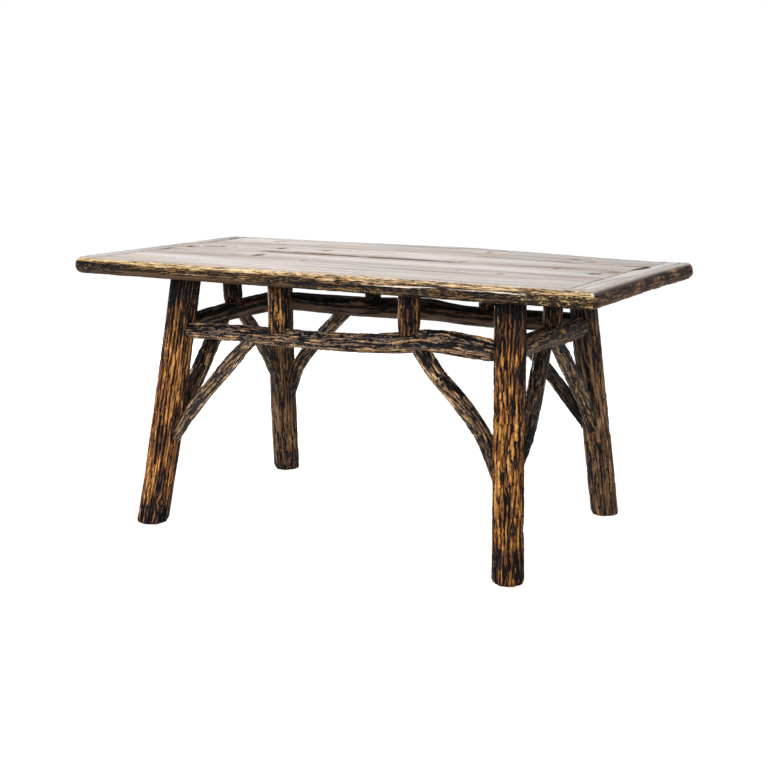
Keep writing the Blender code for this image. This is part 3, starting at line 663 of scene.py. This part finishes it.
# the top: four planks between two cross boards, inside mitred half-round edging
def sweptMesh(name, rows, layers):  # closed sections in a row, capped at both ends
    count, around = rows.shape[:2]
    ring = np.arange(around)
    ahead = np.roll(ring, -1)
    starts = [i * around for i in range(count)]
    quads = [
        (start + j, start + k, start + around + k, start + around + j)
        for start in starts[:-1] for j, k in zip(ring, ahead)
    ]
    caps = [tuple(ring[::-1]), tuple(ring + starts[-1])]
    mesh = bpy.data.meshes.new(name)
    mesh.from_pydata(rows.reshape(-1, 3), [], quads + caps)
    for label, values in layers.items():
        flat = values.ndim == 2
        store = mesh.attributes.new(label, "FLOAT" if flat else "FLOAT_VECTOR", "POINT")
        store.data.foreach_set("value" if flat else "vector", values.astype(np.float32).ravel())
    shape = bmesh.new()
    shape.from_mesh(mesh)
    bmesh.ops.remove_doubles(shape, verts=shape.verts, dist=1e-5)
    bmesh.ops.recalc_face_normals(shape, faces=shape.faces)
    shape.to_mesh(mesh)
    shape.free()
    return mesh


warp = Named(  # the far long edge has lifted and sunk a little
    places=[-0.79, -0.45, -0.20, 0.12, 0.35, 0.50, 0.66, 0.79], span=(0.0, 0.40),
    rises=[0.0, 0.0008, 0.0025, 0.0048, 0.0, -0.0040, -0.0065, -0.0040],
)


def warped(points):
    rise = np.interp(points[..., 0], warp.places, warp.rises)
    return rise * smooth(points[..., 1], *warp.span)


edging = Named(
    length=cadBox[1].x - cadBox[0].x, width=cadBox[1].y - cadBox[0].y, top=cadBox[1].z, height=0.048,
    depth=0.028, round=0.0225, corner=0.0235, step=0.004, relief=0.0020, swell=0.0030,
    ledge=0.0030, lip=0.0018, lipWidth=0.055, ledgeDepth=(0.012, 0.022), coverDepth=(0.0015, 0.009),
    bareCover=0.7, seeds=dict(front=3, right=5, back=7, left=9),
)
# glint is the colour of the painted highlight along the front ledge
edgingLook = Named(
    railLook, name="edging_bark", fine=2.0, ridge=0.0105, reach=0.360, sway=2.0, lensReach=0.100,
    scatter=1.0, toneVary=1.15, scaly=0.32, scaleReach=0.055, darkRough=0.42, wornRough=0.38,
    sheen=0.13, varnish=0.10, flecks=0.6, fleckReach=0.030, furrow=(0.004, 0.004, 0.005),
    bark=(0.018, 0.013, 0.011), fleck=(0.360, 0.225, 0.090), rub=(0.118, 0.062, 0.028),
    inner=(0.290, 0.155, 0.053), innerRed=(0.085, 0.043, 0.020), gold=(0.530, 0.375, 0.195),
    vein=(0.480, 0.330, 0.130), bleach=(0.310, 0.262, 0.220), glint=(0.620, 0.550, 0.450),
)
endEdgingLook = Named(  # the right end is browner
    edgingLook, name="edging_end_bark", fine=1.5, ridge=0.0160, reach=0.170, sway=3.2, lensReach=0.055,
    cracks=0.7, toneVary=0.8, scaly=0.3, scaleReach=0.026, flecks=0.3, fleckReach=0.018,
    peelEdge=0.50, furrow=(0.012, 0.008, 0.007), bark=(0.065, 0.038, 0.025), fleck=(0.130, 0.070, 0.035),
    inner=(0.260, 0.115, 0.042), innerRed=(0.105, 0.050, 0.027), gold=(0.500, 0.260, 0.090),
    rub=(0.082, 0.057, 0.050), bleach=(0.400, 0.350, 0.315),
)
farEdgingLook = Named(  # the far side is bleached on top
    endEdgingLook, name="edging_far_bark", inner=(0.250, 0.175, 0.120), gold=(0.400, 0.320, 0.255),
    bleach=(0.285, 0.250, 0.222),
)
leftEdgingLook = Named(farEdgingLook, name="edging_left_bark", bleach=(0.215, 0.186, 0.162))
frontPatches = {  # on the front edging: strength, then where it starts and ends along it and down it, or None
    "left shoulder": (0.24, None, (-0.06, 0.08), None, (0.16, 0.34)),
    "black left end": (-0.25, None, (-0.68, -0.58), (0.14, 0.26), None),
    "right half": (0.10, (-0.06, 0.08), None, None, None),
    "right below": (-0.02, (-0.06, 0.08), None, (0.30, 0.42), None),
    "lower gold": (0.10, (0.36, 0.46), (0.54, 0.58), (0.60, 0.70), None),
    "underside": (-0.12, None, None, (0.90, 0.96), None),
    "black patch": (-0.35, (-0.15, -0.10), (-0.03, 0.03), (0.38, 0.48), None),
    "corner": (0.22, (0.750, 0.775), None, None, (0.7, 0.9)),
    "dark right": (-0.14, (0.56, 0.62), (0.750, 0.775), (0.22, 0.36), None),
}
veins = (1.2, (0.56, 0.62), (0.755, 0.770), (0.26, 0.38), (0.84, 0.92))


def edgingTree():
    tree, given = newTree(
        "barkEdging", ridge="Float", reach="Float", sway="Float", lensReach="Float", depth="Float", swell="Float",
        bark="Material",
    )
    coord = readOn(tree, "barkCoord", "FLOAT_VECTOR")
    height = barkHeight(coord, split(coord)[0] / given.ridge, given) * readOn(tree, "cover")
    strip = moveOn(given.Geometry, wire(tree, "GeometryNodeInputNormal") * height)
    return closeTree(strip, given.bark)


def edgingProfile():
    size, drop, deep = edging.round, edging.height, edging.depth
    turn = np.linspace(math.pi / 2, 0, 16)
    upper = np.stack([size - size * np.cos(turn), size * np.sin(turn) - size], 1)
    lower = np.stack([upper[::-1, 0], -drop - upper[::-1, 1]], 1)
    inner = [(deep, -drop * share) for share in (1.0, 0.75, 0.5, 0.25, 0.0)]
    return np.vstack([inner, upper, lower])


def makeEdging(name, seed, alongX, sign):
    reach = (edging.length if alongX else edging.width) / 2
    side = (edging.width if alongX else edging.length) / 2
    corner, look, pieceName = edging.corner, edgingFinish[name], "edging_" + name + "_strip"
    profile = edgingProfile()
    deep, drop = profile[:, 0][None, :], profile[:, 1][None, :]
    straight = np.linspace(-(reach - corner), reach - corner, int(2 * reach / edging.step))
    mitre = reach - np.maximum(deep, corner)
    place = np.clip(straight[:, None], -mitre, mitre)
    turn = np.linspace(0, math.pi / 4, 8)[1:, None]
    spread = np.maximum(corner - deep, 0)
    out = np.where(deep < corner, np.maximum(reach - corner + spread * np.sin(turn), 0), reach - deep)
    inset = np.where(deep < corner, corner - spread * np.cos(turn), deep)
    run = np.vstack([-out[::-1], place, out])
    inset = np.vstack([inset[::-1], np.broadcast_to(deep, place.shape), inset])
    height = np.broadcast_to(edging.top + drop, run.shape)
    level = np.broadcast_to(-drop / edging.height, run.shape)
    if name == "front":  # the upper roll overhangs a little
        below = level - ledgeLine(run)
        lip = edging.lip * np.exp(-((below / edging.lipWidth) ** 2))
        step = edging.ledge * smooth(below, 0.0, 0.06) - lip
        inset = inset + step * ledgeSpan(run) * (1 - smooth(inset, *edging.ledgeDepth))
    face = sign * (side - inset)
    points = np.stack([run, face, height] if alongX else [face, run, height], 2)
    points[..., 2] += warped(points)
    lengths = np.r_[0, np.cumsum(np.hypot(*np.diff(profile, axis=0).T))]
    around = np.broadcast_to(lengths[None, :], run.shape)
    coord = np.stack([around + seed, np.full(run.shape, seed * 0.7), run + seed * 2.3], 2) * look.fine
    cover = np.broadcast_to(smooth(edging.depth - deep, *edging.coverDepth), run.shape)
    layers = dict(zip(("wearAndShading", "rubbedAndLit", "bleached", "veined", "glint"), edgingWear(name, run, level)))
    bare = np.maximum(layers["rubbedAndLit"], layers["bleached"])
    layers |= {"barkCoord": coord, "cover": cover * (1 - edging.bareCover * bare)}
    base = sweptMesh(pieceName, points, layers)
    values = {key: look[key] for key in ("ridge", "reach", "sway", "lensReach")}
    values |= {"depth": edging.relief, "swell": edging.swell, "bark": barkMaterials[look.name]}
    settle(runTree(pieceName, base, edgeTree, values), "edging", "edging_" + name)


def ledgeLine(run):  # how far down the front the upper roll ends
    return 0.45 + 0.05 * np.sin(9.0 * run + 0.6) + 0.02 * np.sin(31.0 * run)


def ledgeSpan(run):
    return smooth(run, 0.04, 0.14) * (1 - smooth(run, 0.58, 0.66))


def bell(value, middle, width):
    return np.exp(-(((value - middle) / width) ** 2))


def onPatch(run, level, strength, *limits):  # level goes from 0 at the top to 1 at the underside
    for value, (start, end) in ((run, limits[:2]), (level, limits[2:])):
        strength = strength * (smooth(value, *start) if start else 1.0) * (1 - smooth(value, *end) if end else 1.0)
    return strength


def frontWear(run, level):
    left, end = 1 - smooth(run, -0.06, 0.08), 1 - smooth(run, -0.68, -0.58)
    goldEnd = 0.40 + 0.07 * np.sin(11.0 * run) + 0.04 * np.sin(27.0 * run + 1.0)
    gold = 1 - smooth(level, goldEnd - 0.16, goldEnd + 0.04)
    worn = 0.03 + 0.50 * gold + 0.18 * left * (1 - gold) * (1 - end)
    worn = worn + 0.55 * bell(level, 0.84, 0.030) * (1 - left)  # a thin gold line low on the front
    worn = worn + sum(onPatch(run, level, *patch) for patch in frontPatches.values())
    rubbedAndLit = smooth(level, 0.50, 0.78) * left * (0.46 + 0.30 * (1 - end)) * (1 - 0.3 * smooth(run, -0.36, -0.16))
    # painted highlight: a pale, broken line along the ledge
    line = bell(level, ledgeLine(run) - 0.02, 0.055) * ledgeSpan(run)
    line = line * (0.72 + 0.22 * np.sin(23.0 * run + 1.5) + 0.12 * np.sin(61.0 * run))
    shine = 0.8 * bell(level, 0.17, 0.09) * smooth(run, 0.766, 0.776)  # painted highlight where the corner catches the light
    return worn, rubbedAndLit, 1 - smooth(level, 0.01, 0.11), onPatch(run, level, *veins), np.maximum(line, shine)


def edgingWear(name, run, level):  # worn, rubbed, bleached, veined and the painted highlight
    plain = np.zeros(run.shape)
    under = 0.20 * smooth(level, 0.92, 1.0)
    if name == "front":
        return frontWear(run, level)
    if name == "right":
        band = 0.30 - 0.14 * smooth(run, -0.30, 0.35)  # the smooth band narrows towards the far corner
        return 0.40 - under, 1 - smooth(level, band - 0.12, band), 1 - smooth(level, 0.0, 0.16), plain, plain
    return 0.44 - under, plain, 1 - smooth(level, 0.16, 0.40), plain, plain


edgingFinish = {"front": edgingLook, "right": endEdgingLook, "left": leftEdgingLook, "back": farEdgingLook}
edgeTree = edgingTree()
barkMaterials |= {look.name: barkMaterial(look) for look in edgingFinish.values()}
for edgeName, alongX, sign in (("front", True, -1), ("back", True, 1), ("left", False, -1), ("right", False, 1)):
    makeEdging(edgeName, edging.seeds[edgeName], alongX, sign)
print("edging made")

board = Named(
    top=cadBox[1].z, bottom=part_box("plank_front")[0].z, endSeam=0.714, gap=0.0007, arris=0.0030,
    step=0.004, crossStep=0.0035, endStep=0.0012, edges=[-0.3785, -0.188, 0.012, 0.194, 0.3785],
    outer=0.7625, half=0.3785, endGap=0.0005, grain=0.0005, wave=0.0016, cup=0.0030,
    cupReach=0.07, cupBack=-0.3, dent=0.0036, endDrop=0.0022, endReach=0.004,
    seamReach=(0.0010, 0.0050), crossSeam=0.7, crossReach=(0.0008, 0.0030),
    names=["plank_front", "plank_front_middle", "plank_back_middle", "plank_back"],
)
boardMarks = [  # knots, old holes and a let-in repair in the top: x, y, half length, half width, strength
    (-0.362, -0.086, 0.012, 0.024, 0.9), (-0.410, 0.117, 0.011, 0.022, 0.9), (-0.254, 0.122, 0.012, 0.016, 0.5),
    (-0.684, 0.035, 0.015, 0.022, 0.85), (-0.707, -0.081, 0.012, 0.022, 0.70), (-0.538, 0.310, 0.026, 0.017, 0.45),
    (-0.733, 0.332, 0.012, 0.020, 0.85), (-0.168, -0.154, 0.012, 0.016, 0.4), (0.135, 0.316, 0.014, 0.017, 0.4),
    (0.195, 0.306, 0.012, 0.017, 0.55), (0.239, 0.035, 0.014, 0.018, 0.5), (0.471, 0.292, 0.016, 0.017, 0.5),
    (0.536, 0.245, 0.018, 0.016, 0.55), (0.527, 0.015, 0.010, 0.017, 0.5), (0.655, -0.045, 0.020, 0.017, 0.62),
    (0.685, 0.005, 0.022, 0.016, 0.5), (0.7150, 0.155, 0.011, 0.055, 1.0), (0.445, -0.182, 0.012, 0.016, 0.4),
    (-0.633, 0.056, 0.028, 0.020, 0.55), (-0.600, 0.070, 0.010, 0.024, 0.85),
]
grain = Named(  # sizes of the pattern across and along
    drift=(0.10, 0.50), pull=0.030, band=(0.042, 0.90), streak=(0.012, 0.35), pore=(0.0016, 0.070),
    stain=(0.11, 0.40), broken=(0.05, 0.16), wave=(0.09, 0.45), level=0.62,
)
woodSteps = Named(  # where each tone sets in and is full, and how much it covers
    mid=(0.38, 0.62), grey=(0.45, 0.65, 0.0, 0.7), warm=(0.54, 0.60, 0.0, 0.6), bare=(0.46, 0.40, 0.0, 0.6),
    line=(0.60, 0.66), lineStreak=(0.46, 0.58, 0.0, 0.50), pore=(0.56, 0.70, 0.0, 0.5), mark=(0.05, 0.30),
    halo=(0.08, 0.55, 0.0, 0.8), knot=(0.50, 0.80), broken=(0.36, 0.56, 0.35, 1.0), seam=(0.42, 0.60),
)


def grainPattern(coord):
    drift = (noise(stretch(coord, *grain.drift))[1] - (0.5, 0.5, 0.5)) * grain.pull
    bent = coord + drift
    band = noise(stretch(bent, *grain.band), detail=3.0, rough=0.6)[0]
    streak = noise(stretch(bent, *grain.streak), detail=4.0, rough=0.65)[0]
    pore = noise(stretch(bent, *grain.pore))[0]
    return band, streak, pore


def woodMaterial(name, look):
    material, tree, shader = newMaterial(name)
    coord = layer(tree, "grainCoord", "Vector")
    seam, mark = layer(tree, "seam"), layer(tree, "mark")
    band, streak, pore = grainPattern(coord)
    stain = noise(stretch(coord, *grain.stain), detail=3.0)[0]
    broken = noise(stretch(coord, *grain.broken), detail=3.0)[0]

    def step(value, key):
        return ease(value, *woodSteps[key])

    heart = (streak - 0.5) * step(mark, "mark") * 0.9 + mark  # knots have a dark heart in a brown halo
    colour = tint(step(streak, "mid"), look.pale, look.mid)
    for share, tone in (
        (step(stain, "grey"), "grey"), (step(band, "warm"), "warm"), (step(band, "bare"), "bare"),
        (step(band, "line") * step(streak, "lineStreak"), "dark"), (step(pore, "pore"), "dark"),
        (step(heart, "halo"), "halo"), (step(heart, "knot"), "knot"),
    ):
        colour = tint(share, colour, look[tone])
    gapTone = tint(step(stain, "seam"), look.seam, look.seamGrey)
    feed(shader["Base Color"], tint(seam * step(broken, "broken"), colour, gapTone))
    gloss = streak * 0.25 + (look.rough - 0.12)
    feed(shader["Roughness"], reckon("MAXIMUM", mark, seam) * 0.55 + gloss)
    shader["Specular IOR Level"].default_value = look.sheen
    bumpOn(shader, pore * -0.7 + streak * 0.5, 0.45, 0.0008, "Normal")
    return material


def boardTree():
    tree, given = newTree("wornBoard", grain="Float", wave="Float", wood="Material")
    coord = readOn(tree, "grainCoord", "FLOAT_VECTOR")
    streak = grainPattern(coord)[1]
    slow = noise(stretch(coord, *grain.wave), detail=1.0)[0]
    height = (slow - grain.level) * given.wave + (streak - grain.level) * given.grain
    raised = moveOn(given.Geometry, triple(tree, 0.0, 0.0, height * readOn(tree, "face")))
    return closeTree(raised, given.wood)


def seamStrength(edge, long, alongX):
    strength = np.full(long.shape, 0.30 if alongX else 0.75)
    if alongX and abs(edge - board.edges[2]) < 0.01:  # the open seam in the middle
        strength = 0.40 + 0.60 * smooth(long, -0.46, -0.37) * (1 - smooth(long, 0.20, 0.30))
    elif alongX and abs(edge - board.edges[3]) < 0.01:
        strength = 0.45 + 0.25 * smooth(long, 0.0, 0.3)
    return strength


def makeBoard(name, low, high, alongX, ends, seed, slot, material):  # low and high are its long edges
    arris, top, bottom = board.arris, board.top, board.bottom
    across = np.linspace(low + arris, high - arris, max(10, int((high - low) / board.crossStep)))
    turn = np.linspace(0, math.pi / 2, 4)[:-1]
    curve = np.stack([arris - arris * np.cos(turn), arris - arris * np.sin(turn)], 1)
    middle = (top + bottom) / 2
    section = [(low, bottom), (low, middle)] + [(low + c, top - d) for c, d in curve]
    section += [(value, top) for value in across] + [(high - c, top - d) for c, d in curve[::-1]]
    section = np.array(section + [(high, middle), (high, bottom)])
    run = np.linspace(*ends, int((ends[1] - ends[0]) / board.step))
    run = np.r_[run[0], run[0] + board.endStep, run[1:-1], run[-1] - board.endStep, run[-1]]
    wide, tall, long = np.broadcast_arrays(section[:, 0], section[:, 1], run[:, None])
    points = np.stack([long, wide, tall] if alongX else [wide, long, tall], 2)
    face = (tall > top - arris * 1.1).astype(float)
    nearEnd = np.minimum(long - ends[0], ends[1] - long)
    points[..., 2] -= face * board.endDrop * (1 - smooth(nearEnd, 0.0, board.endReach))
    points[..., 2] += warped(points) * face
    seam = board.crossSeam * (1 - smooth(nearEnd, *board.crossReach))
    for edge, away in ((low, wide - low), (high, high - wide)):
        strength = seamStrength(edge, long, alongX)
        if alongX:
            lift = board.cup * strength**2 * (1 if edge == low else board.cupBack)
            points[..., 2] += face * lift * (1 - smooth(away, 0.0, board.cupReach))
        seam = np.maximum(seam, strength * (1 - smooth(away, *board.seamReach)))
    mark = np.zeros(wide.shape)
    shifted = wide.copy()
    for x, y, half, thick, strength in boardMarks:
        offX, offY = points[..., 0] - x, points[..., 1] - y
        turn = np.arctan2(offY / thick, offX / half)
        ragged = 1 + 0.20 * np.sin(2 * turn + 40 * x) + 0.12 * np.sin(3 * turn + 70 * y)
        spot = np.exp(-((offX / half) ** 2 + (offY / thick / 1.2) ** 2) * ragged)
        mark = np.maximum(mark, strength * smooth(spot, 0.06, 0.62))
        aside = np.tanh((offY if alongX else offX) / thick) * thick * 1.2  # the grain bends round it
        shifted = shifted - aside * np.exp(-((offX / half / 5) ** 2) - (offY / thick / 4) ** 2)
    points[..., 2] -= board.dent * mark**2 * face
    coord = np.stack([shifted + seed * 0.87, tall + seed * 0.41, long + seed * 1.9], 2)
    base = sweptMesh(name + "_board", points, {"grainCoord": coord, "face": face, "seam": seam, "mark": mark})
    values = {"grain": board.grain, "wave": board.wave, "wood": material}
    settle(runTree(name + "_board", base, wornTree, values), slot, name)


topLook = Named(
    pale=(0.335, 0.298, 0.273), mid=(0.240, 0.207, 0.186), warm=(0.182, 0.147, 0.124),
    grey=(0.285, 0.271, 0.267), bare=(0.400, 0.367, 0.344), dark=(0.085, 0.063, 0.050),
    halo=(0.120, 0.086, 0.064), knot=(0.022, 0.014, 0.010), seam=(0.115, 0.060, 0.030),
    seamGrey=(0.085, 0.066, 0.054), rough=0.46, sheen=0.26,
)
backLook = Named(topLook, pale=(0.298, 0.264, 0.238), mid=(0.212, 0.181, 0.160))
leftLook = Named(topLook, pale=(0.262, 0.232, 0.208), mid=(0.205, 0.178, 0.158), grey=(0.230, 0.210, 0.198))
rightLook = Named(topLook, pale=(0.395, 0.370, 0.360), mid=(0.310, 0.284, 0.272), grey=(0.330, 0.318, 0.316))
wornTree = boardTree()
plankWood, backWood = woodMaterial("plank_wood", topLook), woodMaterial("plank_wood_back", backLook)
crossBoards = {
    "breadboard_left": (-1, woodMaterial("breadboard_wood_left", leftLook)),
    "breadboard_right": (1, woodMaterial("breadboard_wood_right", rightLook)),
}
for seed, name in enumerate(board.names, 1):
    low, high = board.edges[seed - 1] + board.gap, board.edges[seed] - board.gap
    reach = board.endSeam - board.gap
    makeBoard(name, low, high, True, (-reach, reach), seed, "plank", plankWood if seed < 3 else backWood)
for seed, (name, (sign, wood)) in enumerate(crossBoards.items(), 7):
    low, high = sorted((sign * (board.endSeam + board.gap), sign * (board.outer - board.gap)))
    reach = board.half - board.endGap
    makeBoard(name, low, high, False, (-reach, reach), seed, "breadboard", wood)
print("top made")


# what stays as the solids: cleats under the planks and the sunk nails
def rawWood(name):
    material, tree, shader = newMaterial(name)
    x, y, z = split(wire(tree, "ShaderNodeTexCoord", output="Object"))
    band, streak, pore = grainPattern(triple(tree, x, z, y))  # their grain runs across the table
    colour = tint(ease(streak, 0.35, 0.65), (0.230, 0.150, 0.085), (0.150, 0.092, 0.050))
    colour = tint(ease(band, 0.5, 0.7, 0.0, 0.6), colour, (0.095, 0.056, 0.032))
    feed(shader["Base Color"], tint(ease(pore, 0.56, 0.72, 0.0, 0.5), colour, (0.050, 0.030, 0.018)))
    feed(shader["Roughness"], streak * 0.3 + 0.5)
    bumpOn(shader, streak - pore, 0.5, 0.0008, "Normal")
    return material


def agedSteel(name):
    material, tree, shader = newMaterial(name)
    place = wire(tree, "ShaderNodeTexCoord", output="Object")
    rust, grit = noise(place, 420.0, 4.0)[0], noise(place, 1800.0)[0]
    feed(shader["Base Color"], tint(ease(rust, 0.42, 0.62), (0.120, 0.115, 0.110), (0.085, 0.038, 0.018)))
    feed(shader["Roughness"], ease(rust, 0.4, 0.65, 0.38, 0.75))
    shader["Metallic"].default_value = 0.85
    bumpOn(shader, grit, 0.4, 0.0003, "Normal")
    return material


cleatWood, nailSteel = rawWood("cleat_wood"), agedSteel("nail_steel")
for name, node in cad.items():
    if name.startswith(("cleat", "nail")):
        node.data.materials.clear()
        node.data.materials.append(cleatWood if name.startswith("cleat") else nailSteel)

screws = Named(radius=0.0042, dome=0.0012, slot=0.0011, sides=12, seed=4)
screwRows = Named(
    cleats=("cleat_left", "cleat_left_middle", "cleat_right_middle", "cleat_right"), pairs=0.028,
    rows=[-0.262, -0.170, -0.060, 0.085, 0.200, 0.262],
)


def screwTree():
    tree, given = newTree(
        "slottedScrews", radius="Float", dome="Float", slot="Float", sides="Int", seed="Int", steel="Material",
    )
    feeds = {"Vertices": given.sides, "Radius Top": given.radius * 0.8, "Radius Bottom": given.radius}
    head = wire(tree, "GeometryNodeMeshCone", feeds | {"Depth": given.dome}, "Mesh")
    size = triple(tree, given.radius * 1.7, given.slot, given.dome)
    bar = wire(tree, "GeometryNodeMeshCube", {"Size": size}, "Mesh")
    lift = triple(tree, 0.0, 0.0, given.dome * 1.1)
    bar = wire(tree, "GeometryNodeTransform", {"Geometry": bar, "Translation": lift})
    cut = wire(tree, "GeometryNodeMeshBoolean", {0: head, 1: bar}, "Mesh", operation="DIFFERENCE")
    turns = {0: (math.pi, 0, 0), 1: (math.pi, 0, math.pi), "Seed": given.seed}  # head down, slots any way
    spin = wire(tree, "FunctionNodeRandomValue", turns, data_type="FLOAT_VECTOR")
    feeds = {"Points": given.Geometry, "Instance": cut, "Rotation": spin}
    return closeTree(wire(tree, "GeometryNodeInstanceOnPoints", feeds), given.steel)


def makeScrews():
    spots = []
    for name in screwRows.cleats:
        low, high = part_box(name)
        middle = (low.x + high.x) / 2
        spots += [(middle + side * screwRows.pairs, y, low.z) for side in (-1, 1) for y in screwRows.rows]
    base = bpy.data.meshes.new("cleat_screws")
    base.from_pydata(spots, [], [])
    heads = runTree("cleat_screws", base, screwTree(), screws | {"steel": nailSteel})
    heads.data.polygons.foreach_set("use_smooth", [False] * len(heads.data.polygons))
    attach(heads, "root")


makeScrews()
print("cleats, nails and screws finished")


# camera and studio
view = Named(  # solved from the photograph; yaw, pitch and roll in degrees, focal length in pixels
    place=(1.905, -3.518, 1.171), angles=(-28.34, -10.93, 0.28), focal=1407.4, pixels=768,
    sensor=36.0, far=60.0,
)
studio = Named(floor=20, grey=0.20, floorSeen=0.73, floorGlow=0.20, skySeen=0.68, skyGlow=0.32)
coolLight = (0.80, 0.88, 1.0)
lamps = dict(  # the window stays below the top; no gleam where the top would burn out from behind or the right
    overhead=dict(place=(-0.4, 0.1, 2.6), target=(0, 0, 0.6), size=(2.4, 1.8), power=95),
    key=dict(place=(0.3, -4.2, 2.1), target=(0, 0, 0.4), size=(1.8, 1.4), power=200, gleam=False),
    side=dict(place=(2.8, -1.2, 1.3), target=(0.4, 0, 0.4), size=(1.2, 1.2), power=20),
    window=dict(place=(-2.6, 2.0, 0.36), target=(0, 0, 0.38), size=(2.2, 0.66), power=100, colour=coolLight),
    skylight=dict(
        place=(-2.7, -0.8, 1.1), target=(-0.3, -0.3, 0.45), size=(0.9, 0.7), power=64, colour=coolLight, gleam=False,
    ),
)


def makeCamera():
    yaw, pitch, roll = (math.radians(angle) for angle in view.angles)
    look = Vector((math.sin(yaw) * math.cos(pitch), math.cos(yaw) * math.cos(pitch), math.sin(pitch)))
    right = Vector((math.cos(yaw), -math.sin(yaw), 0))
    up = right.cross(look)
    across = right * math.cos(roll) + up * math.sin(roll)
    over = up * math.cos(roll) - right * math.sin(roll)
    data = bpy.data.cameras.new("camera")
    data.sensor_width = view.sensor
    data.lens = view.sensor * view.focal / view.pixels
    data.clip_end = view.far
    camera = bpy.data.objects.new("camera", data)
    turned = Matrix((across, over, -look)).transposed().to_4x4()
    camera.matrix_world = Matrix.Translation(Vector(view.place)) @ turned
    bpy.context.scene.collection.objects.link(camera)
    bpy.context.scene.camera = camera


def softbox(name, place, target, size, power, colour=(1, 1, 1), gleam=True):
    data = bpy.data.lights.new(name, "AREA")
    data.shape = "RECTANGLE"
    data.size, data.size_y = size
    data.energy = power
    data.color = colour
    lamp = bpy.data.objects.new(name, data)
    lamp.visible_glossy = gleam
    lamp.location = place
    lamp.rotation_euler = (Vector(target) - Vector(place)).to_track_quat("-Z", "Y").to_euler()
    bpy.context.scene.collection.objects.link(lamp)


def makeStudio():
    shape = bmesh.new()
    bmesh.ops.create_grid(shape, x_segments=1, y_segments=1, size=studio.floor)
    mesh = bpy.data.meshes.new("studio_floor")
    shape.to_mesh(mesh)
    shape.free()
    floor = bpy.data.objects.new("studio_floor", mesh)
    bpy.context.scene.collection.objects.link(floor)
    pale, tree, shader = newMaterial("studio_floor")
    shader["Base Color"].default_value = (studio.grey,) * 3 + (1,)
    shader["Roughness"].default_value = 0.9
    shader["Emission Color"].default_value = (1, 1, 1, 1)
    seen = wire(tree, "ShaderNodeLightPath", output="Is Camera Ray")
    feed(shader["Emission Strength"], seen * studio.floorSeen + studio.floorGlow)
    mesh.materials.append(pale)
    world = bpy.data.worlds.new("studio")
    world.use_nodes = True
    sky = world.node_tree.nodes["Background"].inputs
    sky["Color"].default_value = (1, 1, 1, 1)
    seen = wire(world.node_tree, "ShaderNodeLightPath", output="Is Camera Ray")
    feed(sky["Strength"], seen * studio.skySeen + studio.skyGlow)
    bpy.context.scene.world = world
    bpy.context.scene.view_settings.view_transform = "Standard"
    for name, lamp in lamps.items():
        softbox(name, **lamp)


makeCamera()
makeStudio()
print("camera and studio set")
